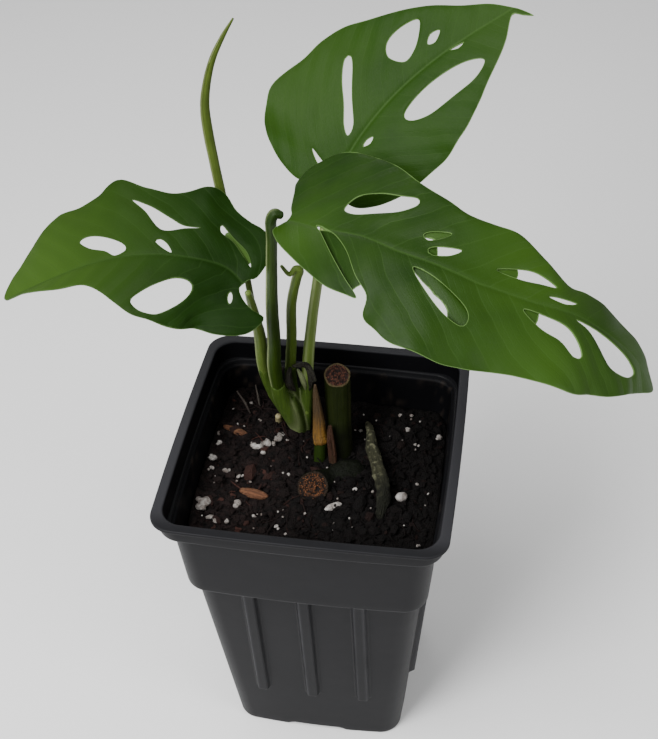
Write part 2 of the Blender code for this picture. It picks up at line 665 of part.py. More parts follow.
OLD_ROOT_ROUTE = [(13.2, 34, 114), (14.2, 30.5, 117.5), (16.2, 23.5, 119), (17.8, 16, 119),
                  (21.4, 5, 119.6), (24.8, -4.5, 119.2), (24.6, -12, 116.5), (24, -15.5, 113)]
OLD_ROOT_RADII = (1.2, 1.8, 2.2, 2.4, 2.8, 2.8, 2.2, 1.4)
ROOT_TIP_ROUTE = [(-21, 26.5, 114), (-20.9, 25.5, 119), (-20.6, 23.4, 125)]
ROOT_TIP_RADII = (1.2, 1.5, 1.2)

# Grains on the potting mix: name, middle, half sizes, turn in degrees, colour
GRAINS = (
    ("perlite_left", (-41.2, -20, 119.3), (3.2, 3.0, 1.9), 20, PERLITE_GREY),
    ("perlite_middle", (-25.5, 12.7, 119), (4.6, 2.2, 1.9), 10, PERLITE_GREY),
    ("perlite_back", (-18.5, 18.2, 118.6), (2.2, 2.4, 2.0), 60, PERLITE_GREY),
    ("perlite_right", (31.5, -4.5, 115.8), (2.3, 2.0, 1.7), 0, PERLITE_GREY),
    ("perlite_front", (7, -14, 117.3), (3.4, 1.4, 1.5), 35, PERLITE_GREY),
    ("bark_chip_left", (-37.2, 18.6, 119.6), (5.6, 1.7, 1.4), -18, BARK_RED),
    ("bark_chip_front", (-23.5, -12.5, 118.7), (5.8, 2.0, 1.6), -12, BARK_RED),
)


def grain_points(centre, halves, turn, grow, draw):
    """Points of a rough grain: a low ball pushed about by a seeded draw."""
    rings = []
    angle = math.radians(turn)
    for level, share in ((-0.85, 0.5), (-0.35, 0.95), (0.3, 1.0), (0.85, 0.55)):
        ring = []
        for i in range(7):
            round_angle = 2 * math.pi * i / 7
            rough = draw.uniform(0.82, 1.12)
            x = (halves[0] * rough * share + grow) * math.cos(round_angle)
            y = (halves[1] * rough * share + grow) * math.sin(round_angle)
            z = halves[2] * level + grow * (1 if level > 0 else -1)
            ring.append((centre[0] + x * math.cos(angle) - y * math.sin(angle),
                         centre[1] + x * math.sin(angle) + y * math.cos(angle), centre[2] + z))
        rings.append(ring)
    return rings


def build_grains(soil):
    """Set the larger perlite grains and bark chips into hollows in the potting mix."""
    for number, (name, centre, halves, turn, colour) in enumerate(GRAINS):
        points, faces = loft(grain_points(centre, halves, turn, 0.0, random.Random(number)))
        add_object(name, points, faces, material(name.replace("_", " "), colour, 0.8), smooth=False)
        points, faces = loft(grain_points(centre, halves, turn, GAP, random.Random(number)))
        subtract(soil, cutter_object("hollow " + name, points, faces))


def lengthened(route, extra):
    """Return a route whose two ends are moved outward by a little."""
    first, second = Vector(route[0]), Vector(route[1])
    last, before = Vector(route[-1]), Vector(route[-2])
    start = first + (first - second).normalized() * extra
    end = last + (last - before).normalized() * extra
    return [start, *route[1:-1], end]


def clear_round(body, route, radii, label, sides=9, steps=10, spread=1.0, end_room=GAP):
    """Cut the way of a stalk out of a body, with a gap all round and past its ends."""
    way = lengthened(route, end_room)
    grown = [radius + GAP / 2 for radius in radii]
    subtract(body, stalk(f"{label} in {body.name}", way, grown, None, sides, steps, GAP, spread))


def build_shoot(soil):
    """Build the growing shoot: its crown, petioles, rolled new leaf and blades."""
    green = material("petiole green", STALK_GREEN, 0.5)
    crown_green = material("crown green", STALK_GREEN, 0.5)
    crown = stalk("crown_stem", CROWN_ROUTE, CROWN_RADII, crown_green, sides=12, steps=8,
                  spread=CROWN_SPREAD)
    petioles = (
        ("petiole_left", LEFT_STALK, LEFT_STALK_RADII, 12),
        ("petiole_right", RIGHT_STALK, RIGHT_STALK_RADII, 18),
        ("petiole_old", OLD_STALK, OLD_STALK_RADII, 18),
        ("petiole_back", BACK_STALK, BACK_STALK_RADII, 12),
        ("new_leaf", NEW_LEAF, NEW_LEAF_RADII, 20),
    )
    for name, route, radii, steps in petioles:
        surface = material("new leaf", SPEAR_OLIVE, 0.45) if name == "new_leaf" else green
        stalk(name, route, radii, surface, steps=steps)
        clear_round(crown, route, radii, name, steps=steps)
    clear_round(soil, CROWN_ROUTE, CROWN_RADII, "crown", sides=12, steps=8, spread=CROWN_SPREAD)
    for blade in (LEFT_LEAF, RIGHT_LEAF, BACK_LEAF):
        blade.build()


def build_old_growth(soil):
    """Build the cut stems, dried sheaths and roots that stand or lie in the mix."""
    vine = stalk("old_vine", VINE_ROUTE, VINE_RADII, material("old vine", CUT_BROWN, 0.85), sides=12,
                 steps=8, face=CUT_FACE)
    clear_round(soil, VINE_ROUTE, VINE_RADII, "old_vine", sides=12, steps=8, end_room=4.0)
    stalk("cut_stem", CUT_STEM_ROUTE, CUT_STEM_RADII, material("old stem green", OLD_STEM_GREEN, 0.55),
          sides=12, steps=7, face=CUT_STEM_FACE)
    for body in (soil, vine):
        clear_round(body, CUT_STEM_ROUTE, CUT_STEM_RADII, "cut_stem", sides=12, steps=7)
    pieces = (
        ("young_stem", YOUNG_STEM, YOUNG_STEM_RADII, STALK_GREEN, 0.5),
        ("yellow_sheath", SHEATH_ROUTE, SHEATH_RADII, SHEATH_OCHRE, 0.6),
        ("papery_sheath", PAPER_ROUTE, PAPER_RADII, PAPER_BROWN, 0.8),
        ("old_root", OLD_ROOT_ROUTE, OLD_ROOT_RADII, ROOT_GREY, 0.85),
        ("root_tip", ROOT_TIP_ROUTE, ROOT_TIP_RADII, ROOT_CREAM, 0.6),
        ("dark_hood", HOOD_ROUTE, HOOD_RADII, SHEATH_DARK, 0.8),
    )
    for name, route, radii, colour, roughness in pieces:
        stalk(name, route, radii, material(name.replace("_", " "), colour, roughness), sides=8, steps=7)
    for name, route, radii, colour, roughness in pieces[:1] + pieces[2:5]:
        clear_round(soil, route, radii, name, sides=8, steps=7)
    for name, route, radii, colour, roughness in pieces[:1] + pieces[2:3]:
        clear_round(vine, route, radii, name, sides=8, steps=7)


def main():
    """Clear the scene and build every piece."""
    for old in list(bpy.data.objects):
        bpy.data.objects.remove(old, do_unlink=True)
    build_pot()
    soil = build_soil()
    build_shoot(soil)
    build_old_growth(soil)
    build_grains(soil)


main()
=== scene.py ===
"""The looks of a young monstera adansonii in a square nursery pot.

Design values are millimetres in the part's own frame: the origin is under the middle
of the pot, +Z is up and -Y is the front. MM turns them into Blender's metres.
"""

import logging
import math
from dataclasses import dataclass, field
from enum import Enum
from typing import Callable, Dict, List, Optional, Sequence, Tuple, Union

import bmesh
import bpy
import numpy as np
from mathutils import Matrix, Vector
from mathutils.geometry import delaunay_2d_cdt


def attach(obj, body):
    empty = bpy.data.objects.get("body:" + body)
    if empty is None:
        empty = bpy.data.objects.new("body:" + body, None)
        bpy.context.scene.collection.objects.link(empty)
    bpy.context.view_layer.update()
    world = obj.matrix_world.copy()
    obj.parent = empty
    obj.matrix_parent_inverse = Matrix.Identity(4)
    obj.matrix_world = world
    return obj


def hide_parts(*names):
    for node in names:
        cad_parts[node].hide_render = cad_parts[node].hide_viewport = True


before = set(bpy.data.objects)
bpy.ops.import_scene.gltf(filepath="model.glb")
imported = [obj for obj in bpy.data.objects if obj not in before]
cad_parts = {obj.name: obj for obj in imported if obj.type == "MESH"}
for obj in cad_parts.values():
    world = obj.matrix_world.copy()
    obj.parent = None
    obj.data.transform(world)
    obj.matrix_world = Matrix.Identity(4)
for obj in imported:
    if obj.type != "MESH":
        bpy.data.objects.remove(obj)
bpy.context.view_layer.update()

MM = 0.001
TINY = 1e-12
LOG = logging.getLogger("monstera")

Colour = Tuple[float, float, float]
Station = Sequence[float]
Flat = Tuple[float, float]
Socket = bpy.types.NodeSocket
Value = Union[float, Colour, Socket]
Inputs = bpy.types.bpy_prop_collection
Marks = Dict[str, np.ndarray]
Faces = List[Tuple[int, ...]]


# Shapes: curves, roughness and meshes


def cubic(
    a: np.ndarray, b: np.ndarray, c: np.ndarray, d: np.ndarray, f: Union[float, np.ndarray]
) -> np.ndarray:
    """Read a smooth curve through four points.

    Args:
        a: The point before.
        b: Where the stretch starts.
        c: Where the stretch ends.
        d: The point after.
        f: Share of the way from b to c.

    Returns:
        The point there.
    """
    square = 2 * a - 5 * b + 4 * c - d
    cube = 3 * b - a - 3 * c + d
    return 0.5 * (2 * b + (c - a) * f + square * f * f + cube * f**3)


def through(stations: Sequence[Station], share: np.ndarray) -> np.ndarray:
    """Read a smooth curve through evenly spaced stations.

    Args:
        stations: Points, or single values, that the curve passes through.
        share: Places along the curve from 0 to 1.

    Returns:
        One row for each place.
    """
    points = np.asarray(stations, float)
    if points.ndim == 1:
        points = points[:, None]
    last = len(points) - 1
    place = np.clip(np.atleast_1d(share), 0.0, 1.0) * last
    left = np.minimum(place.astype(int), last - 1)
    held = np.vstack([2 * points[0] - points[1], points, 2 * points[-1] - points[-2]])
    return cubic(*(held[left + k] for k in range(4)), (place - left)[:, None])


def unit(rows: np.ndarray) -> np.ndarray:
    """Scale each row to length 1."""
    return rows / np.maximum(np.linalg.norm(rows, axis=-1, keepdims=True), TINY)


def ease(value: np.ndarray) -> np.ndarray:
    """Turn 0 to 1 into a slope with soft ends, held outside that range."""
    held = np.clip(value, 0.0, 1.0)
    return held * held * (3 - 2 * held)


def rough(places: np.ndarray, size: float, seed: int = 0, octaves: int = 1) -> np.ndarray:
    """Smooth seeded unevenness from about -1 to 1.

    Args:
        places: Points, one in each row.
        size: Distance between neighbouring high and low spots.
        seed: Which pattern to draw.
        octaves: How many ever finer patterns to add together.

    Returns:
        One value for each point.
    """
    total = np.zeros(len(places))
    weight = 0.0
    for octave in range(octaves):
        cell = places / (size / 2**octave) + 17.37 * (seed + 1)
        low = np.floor(cell).astype(np.int64)
        f = ease(cell - low)
        value = np.zeros(len(places))
        for corner in range(8):
            step = np.array([corner & 1, corner >> 1 & 1, corner >> 2 & 1])
            key = low + step
            mixed = key[:, 0] * 73856093 ^ key[:, 1] * 19349663 ^ key[:, 2] * 83492791
            mixed = (mixed ^ (mixed >> 13) ^ (seed + octave) * 40503) * 1274126177
            mixed = (mixed ^ (mixed >> 16)) & 0xFFFF
            value += np.prod(np.where(step, f, 1 - f), axis=1) * (mixed / 32767.5 - 1)
        total += value * 0.5**octave
        weight += 0.5**octave
    return total / weight


def add_piece(
    name: str,
    points: np.ndarray,
    faces: Sequence[Sequence[int]],
    surfaces: Sequence[bpy.types.Material],
    marks: Optional[Marks] = None,
    slots: Optional[Sequence[int]] = None,
    crease: float = 40.0,
) -> bpy.types.Object:
    """Put a mesh into the scene, facing outward.

    Args:
        name: Name of the object.
        points: Points in millimetres.
        faces: Corner numbers of each face.
        surfaces: The materials it carries.
        marks: Values or vectors for each point that the materials read.
        slots: Which material each face takes.
        crease: Angle in degrees past which an edge stays sharp.

    Returns:
        The new object.
    """
    mesh = bpy.data.meshes.new(name)
    mesh.from_pydata((np.asarray(points) * MM).tolist(), [], [tuple(face) for face in faces])
    for surface in surfaces:
        mesh.materials.append(surface)
    if slots is not None:
        mesh.polygons.foreach_set("material_index", np.asarray(slots, np.int32))
    for label, values in (marks or {}).items():
        vector = values.ndim == 2
        kind = "FLOAT_VECTOR" if vector else "FLOAT"
        layer = mesh.attributes.new(label, kind, "POINT")
        held = np.ascontiguousarray(values, np.float32).ravel()
        layer.data.foreach_set("vector" if vector else "value", held)
    work = bmesh.new()
    work.from_mesh(mesh)
    bmesh.ops.recalc_face_normals(work, faces=work.faces)
    work.to_mesh(mesh)
    work.free()
    mesh.shade_smooth()
    mesh.set_sharp_from_angle(angle=math.radians(crease))
    made = bpy.data.objects.new(name, mesh)
    bpy.context.scene.collection.objects.link(made)
    return made


def settle(piece: bpy.types.Object, nodes: Sequence[str] = ()) -> bpy.types.Object:
    """Let a piece ride on the part and stand for solids.

    Args:
        piece: The piece.
        nodes: The solids it stands for.

    Returns:
        The piece.
    """
    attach(piece, "root")
    if nodes:
        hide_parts(*nodes)
    LOG.info("%s: %d faces", piece.name, len(piece.data.polygons))
    return piece


def ring_faces(levels: int, count: int, start: int = 0) -> Faces:
    """Quads between successive closed rings of points.

    Args:
        levels: Number of rings.
        count: Points in each ring.
        start: Number of the first point.

    Returns:
        The quads.
    """
    faces = []
    for low in range(start, start + (levels - 1) * count, count):
        for i in range(count):
            j = (i + 1) % count
            faces.append((low + i, low + j, low + count + j, low + count + i))
    return faces


def tube_faces(levels: int, count: int, start: int = 0) -> Faces:
    """Faces of a closed tube.

    Args:
        levels: Number of rings.
        count: Points in each ring.
        start: Number of the first point.

    Returns:
        The quads between the rings, then the first end and the last end.
    """
    end = start + levels * count
    ends = [tuple(range(start + count - 1, start - 1, -1)), tuple(range(end - count, end))]
    return ring_faces(levels, count, start) + ends


def inside(points: np.ndarray, loop: np.ndarray) -> np.ndarray:
    """Tell which flat points lie inside a closed loop.

    Args:
        points: The points to test.
        loop: Corners of the loop, in order.

    Returns:
        True for each point inside.
    """
    x, y = points[:, :1], points[:, 1:2]
    x1, y1 = np.roll(loop[:, 0], 1), np.roll(loop[:, 1], 1)
    x2, y2 = loop[:, 0], loop[:, 1]
    rise = np.where(np.abs(y2 - y1) < TINY, TINY, y2 - y1)
    crossed = ((y1 > y) != (y2 > y)) & (x < (x2 - x1) * (y - y1) / rise + x1)
    return crossed.sum(1) % 2 == 1


def distance(points: np.ndarray, loop: np.ndarray) -> np.ndarray:
    """Measure how far flat points are from a closed loop.

    Args:
        points: The points to measure.
        loop: Corners of the loop, in order.

    Returns:
        The distance of each point.
    """
    start = np.roll(loop, 1, axis=0)
    run = loop - start
    rel = points[:, None, :] - start[None]
    share = np.clip((rel * run).sum(2) / np.maximum((run * run).sum(1), TINY), 0, 1)
    return np.linalg.norm(rel - share[..., None] * run, axis=2).min(1)


def smooth_loop(corners: Sequence[Flat], step: float) -> np.ndarray:
    """Sample a closed smooth curve through flat points.

    Args:
        corners: The points that it passes through.
        step: About how far apart the samples are.

    Returns:
        The samples.
    """
    held = np.asarray(corners, float)
    rows = []
    for i in range(len(held)):
        near = [held[(i + k) % len(held)] for k in (-1, 0, 1, 2)]
        pieces = max(1, round(float(np.linalg.norm(near[2] - near[1])) / step))
        rows += [cubic(*near, k / pieces) for k in range(pieces)]
    return np.array(rows)


def fill(points: np.ndarray, loops: Sequence[np.ndarray]) -> np.ndarray:
    """Split an outline with holes into triangles.

    Args:
        points: The loops' points, in order, and then the points inside.
        loops: The outline, then the holes.

    Returns:
        Point numbers, three in each row.
    """
    edges = []
    start = 0
    for loop in loops:
        edges += [(start + i, start + (i + 1) % len(loop)) for i in range(len(loop))]
        start += len(loop)
    made = delaunay_2d_cdt([Vector(p) for p in points], edges, [], 0, 1e-5)
    new = np.array([tuple(p) for p in made[0]])
    triangles = np.array([tuple(face) for face in made[2] if len(face) == 3])
    centres = new[triangles].mean(1)
    keep = inside(centres, loops[0])
    for hole in loops[1:]:
        keep &= ~inside(centres, hole)
    first = np.array([origins[0] if origins else -1 for origins in made[3]])
    return first[triangles[keep]]


def triangle_sides(triangles: np.ndarray) -> np.ndarray:
    """Directed sides of all triangles, two point numbers in each row."""
    return np.vstack([triangles[:, [0, 1]], triangles[:, [1, 2]], triangles[:, [2, 0]]])


def slab_faces(triangles: np.ndarray, count: int) -> Faces:
    """Faces of a thin closed body with the same triangles on both sides.

    Args:
        triangles: Point numbers of the upper triangles.
        count: Number of points on each side.

    Returns:
        The upper faces, the lower faces and the rim between them.
    """
    known = {(int(a), int(b)) for a, b in triangle_sides(triangles)}
    rim = sorted((b, a, a + count, b + count) for a, b in known if (b, a) not in known)
    faces = [tuple(int(i) for i in t) for t in triangles]
    return faces + [(int(c) + count, int(b) + count, int(a) + count) for a, b, c in triangles] + rim


def leaf_marks(flat: np.ndarray, margin: np.ndarray, fresh: np.ndarray) -> Marks:
    """Gather what the leaf finish reads, for both sides of a slab.

    Args:
        flat: Places along the midrib and beside it.
        margin: 1 for points on an edge, else 0.
        fresh: How much painted light the green has.

    Returns:
        The marks.
    """
    return {
        "blade": np.tile(np.column_stack([flat, margin]), (2, 1)),
        "fresh": np.tile(fresh, 2),
        "under": np.repeat([0.0, 1.0], len(flat)),
    }


# Materials: a short way to write shader trees, and the effects that they share


class Graph:
    """A shader tree that is written as a list of steps."""

    def __init__(self, tree: bpy.types.NodeTree) -> None:
        """Hold the tree that the steps go into."""
        self.tree = tree

    def node(self, kind: str, **settings: object) -> bpy.types.Node:
        """Add one node.

        Args:
            kind: Its kind, without the usual first word.
            **settings: Its options.

        Returns:
            The node.
        """
        made = self.tree.nodes.new("ShaderNode" + kind)
        for key, value in settings.items():
            setattr(made, key, value)
        return made

    def feed(self, socket: Socket, value: Value) -> None:
        """Link a socket, or set its value.

        Args:
            socket: The input.
            value: An output to link, or a plain value.
        """
        if isinstance(value, bpy.types.NodeSocket):
            self.tree.links.new(value, socket)
        elif isinstance(value, tuple) and len(value) == 3 and len(socket.default_value) == 4:
            socket.default_value = (*value, 1.0)
        else:
            socket.default_value = value

    def feed_all(self, node: bpy.types.Node, *values: Value) -> Socket:
        """Feed a node's first inputs in order.

        Args:
            node: The node.
            *values: One value or output for each input.

        Returns:
            Its first output.
        """
        for socket, value in zip(node.inputs, values):
            self.feed(socket, value)
        return node.outputs[0]

    def math(self, operation: str, *values: Value, clamp: bool = False) -> Socket:
        """Combine values by one operation."""
        return self.feed_all(self.node("Math", operation=operation, use_clamp=clamp), *values)

    def times(self, first: Value, second: Value, clamp: bool = False) -> Socket:
        """Multiply two values."""
        return self.math("MULTIPLY", first, second, clamp=clamp)

    def fit(self, value: Value, factor: Value, added: Value, clamp: bool = False) -> Socket:
        """Multiply a value by a factor and add to it."""
        return self.math("MULTIPLY_ADD", value, factor, added, clamp=clamp)

    def mix(self, share: Value, first: Value, second: Value, blend: str = "MIX") -> Socket:
        """Blend two colours.

        Args:
            share: How much of the second colour there is.
            first: The first colour.
            second: The second colour.
            blend: How they blend.

        Returns:
            The colour.
        """
        made = self.node("Mix", data_type="RGBA", blend_type=blend, clamp_factor=True)
        for number, value in ((0, share), (6, first), (7, second)):
            self.feed(made.inputs[number], value)
        return made.outputs[2]

    def span(
        self, value: Value, low: float, high: float, to_low: float = 0.0, to_high: float = 1.0
    ) -> Socket:
        """Map a value from one range to another with soft ends."""
        made = self.node("MapRange", interpolation_type="SMOOTHSTEP")
        return self.feed_all(made, value, low, high, to_low, to_high)

    def noise(self, vector: Socket, scale: Value, detail: float = 3.0, roughness: float = 0.55) -> Socket:
        """Make smooth noise about 0.5.

        Args:
            vector: Where it is read.
            scale: How fine it is.
            detail: How many finer layers it has.
            roughness: How strong the finer layers are.

        Returns:
            The noise.
        """
        made = self.node("TexNoise")
        settings = {"Vector": vector, "Scale": scale, "Detail": detail, "Roughness": roughness}
        for label, value in settings.items():
            self.feed(made.inputs[label], value)
        return made.outputs["Fac"]

    def cells(self, vector: Socket, scale: Value) -> Socket:
        """Make a pattern of cells.

        Args:
            vector: Where it is read.
            scale: How fine it is.

        Returns:
            The distance from each cell's middle.
        """
        made = self.node("TexVoronoi", feature="F1")
        self.feed(made.inputs["Vector"], vector)
        self.feed(made.inputs["Scale"], scale)
        return made.outputs["Distance"]

    def stretch(self, vector: Socket, scale: Colour) -> Socket:
        """Scale a vector by a different amount along each axis."""
        return self.feed_all(self.node("VectorMath", operation="MULTIPLY"), vector, scale)

    def mark(self, name: str) -> Socket:
        """Read a value that the mesh carries at its points."""
        return self.node("Attribute", attribute_name=name).outputs["Fac"]

    def place(self, name: str) -> Socket:
        """Read a vector that the mesh carries at its points."""
        return self.node("Attribute", attribute_name=name).outputs["Vector"]

    def split(self, vector: Socket) -> List[Socket]:
        """Return the three parts of a vector.

        Args:
            vector: The vector.

        Returns:
            The three sockets.
        """
        made = self.node("SeparateXYZ")
        self.feed_all(made, vector)
        return list(made.outputs)

    def object_place(self) -> Socket:
        """Read the place on the object, in metres."""
        return self.node("TexCoord").outputs["Object"]

    def bump(self, height: Value, depth: float, strength: float = 1.0) -> Socket:
        """Turn a height into a normal.

        Args:
            height: The height, from 0 to 1.
            depth: How many millimetres 1 stands for.
            strength: How strong the effect is.

        Returns:
            The normal.
        """
        made = self.node("Bump")
        for label, value in (("Distance", depth * MM), ("Strength", strength), ("Height", height)):
            self.feed(made.inputs[label], value)
        return made.outputs[0]


def shared_effect(
    name: str,
    takes: Sequence[Tuple[str, str, object]],
    gives: Sequence[Tuple[str, str]],
    wire: Callable[[Graph, Dict[str, Socket]], Dict[str, Socket]],
) -> bpy.types.NodeTree:
    """Build a node group once and return it.

    Args:
        name: Name of the effect.
        takes: Name, kind and usual value of each input.
        gives: Name and kind of each output.
        wire: Makes the nodes, and returns the socket for each output.

    Returns:
        The node group.
    """
    found = bpy.data.node_groups.get(name)
    if found is not None:
        return found
    tree = bpy.data.node_groups.new(name, "ShaderNodeTree")
    for label, kind, usual in takes:
        socket = tree.interface.new_socket(name=label, in_out="INPUT", socket_type="NodeSocket" + kind)
        if usual is not None:
            socket.default_value = usual
    for label, kind in gives:
        tree.interface.new_socket(name=label, in_out="OUTPUT", socket_type="NodeSocket" + kind)
    entry = tree.nodes.new("NodeGroupInput")
    leave = tree.nodes.new("NodeGroupOutput")
    for label, socket in wire(Graph(tree), {s.name: s for s in entry.outputs if s.name}).items():
        tree.links.new(socket, leave.inputs[label])
    return tree


def use_effect(graph: Graph, tree: bpy.types.NodeTree, **values: Value) -> Dict[str, Socket]:
    """Place a node group in a tree with its own values.

    Args:
        graph: The tree to place it in.
        tree: The node group.
        **values: Inputs by name, with _ for a space.

    Returns:
        The outputs by name.
    """
    made = graph.node("Group", node_tree=tree)
    for label, value in values.items():
        graph.feed(made.inputs[label.replace("_", " ")], value)
    return {socket.name: socket for socket in made.outputs}


def patches(g: Graph, scale: float, contrast: float, dark: Colour, light: Colour) -> Dict[str, Socket]:
    """Place the soft mottle in a tree.

    Args:
        g: The tree.
        scale: How fine the patches are.
        contrast: How hard their edges are.
        dark: One colour.
        light: The other colour.

    Returns:
        The mottle's colour and mask.
    """
    return use_effect(g, mottle_effect(), Vector=g.object_place(), Scale=scale, Contrast=contrast, Dark=dark,
                      Light=light)


def mottle_effect() -> bpy.types.NodeTree:
    """Two colours that blend in soft patches.

    Returns:
        The node group.
    """

    def wire(g: Graph, i: Dict[str, Socket]) -> Dict[str, Socket]:
        """Make the patches.

        Args:
            g: The group's nodes.
            i: The group's inputs.

        Returns:
            What the group puts out, by name.
        """
        noise = g.noise(i["Vector"], i["Scale"], 5.0, 0.6)
        centred = g.math("SUBTRACT", noise, 0.5)
        mask = g.fit(centred, i["Contrast"], 0.5, clamp=True)
        return {"Colour": g.mix(mask, i["Dark"], i["Light"]), "Mask": mask}

    return shared_effect(
        "soft mottle",
        [("Vector", "Vector", None), ("Scale", "Float", 100.0), ("Contrast", "Float", 2.0),
         ("Dark", "Color", None), ("Light", "Color", None)],
        [("Colour", "Color"), ("Mask", "Float")],
        wire,
    )


def grain_effect() -> bpy.types.NodeTree:
    """Fine pitted unevenness for bump, and a matching change of gloss.

    Returns:
        The node group.
    """

    def wire(g: Graph, i: Dict[str, Socket]) -> Dict[str, Socket]:
        """Make the pits.

        Args:
            g: The group's nodes.
            i: The group's inputs.

        Returns:
            What the group puts out, by name.
        """
        noise = g.noise(i["Vector"], i["Scale"], 6.0, 0.65)
        pits = g.cells(i["Vector"], g.times(i["Scale"], 1.7))
        height = g.fit(pits, i["Pits"], noise)
        soft = g.fit(g.math("SUBTRACT", noise, 0.5), i["Gloss Change"], i["Roughness"])
        return {"Height": height, "Roughness": g.math("MAXIMUM", soft, 0.05)}

    return shared_effect(
        "fine grain",
        [("Vector", "Vector", None), ("Scale", "Float", 900.0), ("Pits", "Float", 0.3),
         ("Gloss Change", "Float", 0.2), ("Roughness", "Float", 0.5)],
        [("Height", "Float"), ("Roughness", "Float")],
        wire,
    )


def streak_effect() -> bpy.types.NodeTree:
    """Streaks that run the length of a stalk, root or sheath.

    Returns:
        The node group.
    """

    def wire(g: Graph, i: Dict[str, Socket]) -> Dict[str, Socket]:
        """Make the streaks.

        Args:
            g: The group's nodes.
            i: The group's inputs.

        Returns:
            What the group puts out, by name.
        """
        wide = g.noise(g.stretch(i["Place"], (0.035, 0.9, 0.9)), 1.0, 3.0, 0.55)
        fine = g.noise(g.stretch(i["Place"], (0.11, 3.2, 3.2)), 1.0, 4.0, 0.6)
        both = g.fit(fine, 0.5, g.times(wide, 0.5))
        mask = g.fit(g.math("SUBTRACT", both, 0.5), i["Contrast"], 0.5, clamp=True)
        return {"Mask": mask, "Height": fine}

    return shared_effect(
        "long streaks",
        [("Place", "Vector", None), ("Contrast", "Float", 3.0)],
        [("Mask", "Float"), ("Height", "Float")],
        wire,
    )


def vein_effect() -> bpy.types.NodeTree:
    """Side veins that leave the midrib in pairs, with finer ones between them.

    Returns:
        The node group.
    """

    def wire(g: Graph, i: Dict[str, Socket]) -> Dict[str, Socket]:
        """Make the midrib, the side veins and the cushions between them.

        Args:
            g: The group's nodes.
            i: The group's inputs.

        Returns:
            What the group puts out, by name.
        """
        along, across, _ = g.split(i["Blade"])
        width = g.math("ABSOLUTE", across)
        side = g.math("GREATER_THAN", across, 0.0)
        bent = g.fit(g.times(width, width), i["Curl"], g.times(width, i["Sweep"]))
        wander = g.math("SUBTRACT", g.noise(i["Blade"], 0.07, 2.0), 0.5)
        row = g.math("SUBTRACT", g.fit(wander, 4.0, along), bent)
        row = g.math("ADD", g.math("DIVIDE", row, i["Spacing"]), g.times(side, 0.46))
        off = g.math("ABSOLUTE", g.math("SUBTRACT", g.math("FRACT", row), 0.5))
        near = g.math("SUBTRACT", 0.5, off)
        gap = g.times(near, i["Spacing"])
        vein = g.span(gap, 0.0, 0.55, 1.0, 0.0)
        cushion = g.math("SINE", g.times(near, math.pi))
        finer = g.math("PINGPONG", g.times(row, 4.0), 0.5)
        minor = g.span(finer, 0.0, 0.14, 1.0, 0.0)
        rib = g.span(width, 0.1, 0.6, 1.0, 0.0)
        return {"Rib": rib, "Vein": vein, "Minor": minor, "Cushion": cushion}

    return shared_effect(
        "leaf veins",
        [("Blade", "Vector", None), ("Spacing", "Float", 9.0), ("Sweep", "Float", 0.8),
         ("Curl", "Float", 0.01)],
        [("Rib", "Float"), ("Vein", "Float"), ("Minor", "Float"), ("Cushion", "Float")],
        wire,
    )


def end_grain_effect() -> bpy.types.NodeTree:
    """The cut end of a vine: strands in rings inside a rind.

    Returns:
        The node group.
    """

    def wire(g: Graph, i: Dict[str, Socket]) -> Dict[str, Socket]:
        """Make the strands and rings.

        Args:
            g: The group's nodes.
            i: The group's inputs.

        Returns:
            What the group puts out, by name.
        """
        _, across, up = g.split(i["Place"])
        radius = g.math("SQRT", g.math("ADD", g.times(across, across), g.times(up, up)))
        wander = g.times(g.noise(i["Place"], 0.45, 4.0), 3.4)
        share = g.math("ADD", g.math("DIVIDE", radius, i["Radius"]), g.times(wander, 0.03))
        rings = g.math("SINE", g.times(g.math("ADD", radius, wander), i["Ring Scale"]))
        strands = g.cells(i["Place"], 1.25)
        dots = g.span(strands, 0.18, 0.55, 1.0, 0.0)
        height = g.fit(rings, 0.25, g.times(dots, 0.6))
        mask = g.fit(rings, 0.16, g.fit(dots, 0.75, 0.08), clamp=True)
        rind = g.span(share, 0.88, 0.97)
        return {"Strands": mask, "Rind": rind, "Height": height}

    return shared_effect(
        "end grain",
        [("Place", "Vector", None), ("Radius", "Float", 5.0), ("Ring Scale", "Float", 3.4)],
        [("Strands", "Float"), ("Rind", "Float"), ("Height", "Float")],
        wire,
    )


@dataclass(frozen=True)
class Finish:
    """What every surface has: a name and a gloss."""

    name: str
    roughness: float = 0.5
    specular: float = 0.4

    def make(self) -> bpy.types.Material:
        """Build the material, or return it if it is there.

        Returns:
            The material.
        """
        found = bpy.data.materials.get(self.name)
        if found is not None:
            return found
        made = bpy.data.materials.new(self.name)
        made.use_nodes = True
        shader = made.node_tree.nodes["Principled BSDF"]
        shader.inputs["Roughness"].default_value = self.roughness
        shader.inputs["Specular IOR Level"].default_value = self.specular
        self.paint(Graph(made.node_tree), shader.inputs)
        return made

    def grain(self, g: Graph, shader: Inputs, scale: float, pits: float, gloss: float) -> Socket:
        """Add the fine grain and the change of gloss that goes with it.

        Args:
            g: The tree.
            shader: The shader's inputs.
            scale: How fine the grain is.
            pits: How deep its pits are.
            gloss: How much the gloss changes.

        Returns:
            The grain's height.
        """
        grain = use_effect(g, grain_effect(), Vector=g.object_place(), Scale=scale, Pits=pits,
                           Gloss_Change=gloss, Roughness=self.roughness)
        g.feed(shader["Roughness"], grain["Roughness"])
        return grain["Height"]

    def paint(self, g: Graph, shader: Inputs) -> None:
        """Add the nodes of this finish.

        Args:
            g: The tree that they go into.
            shader: The shader's inputs.
        """


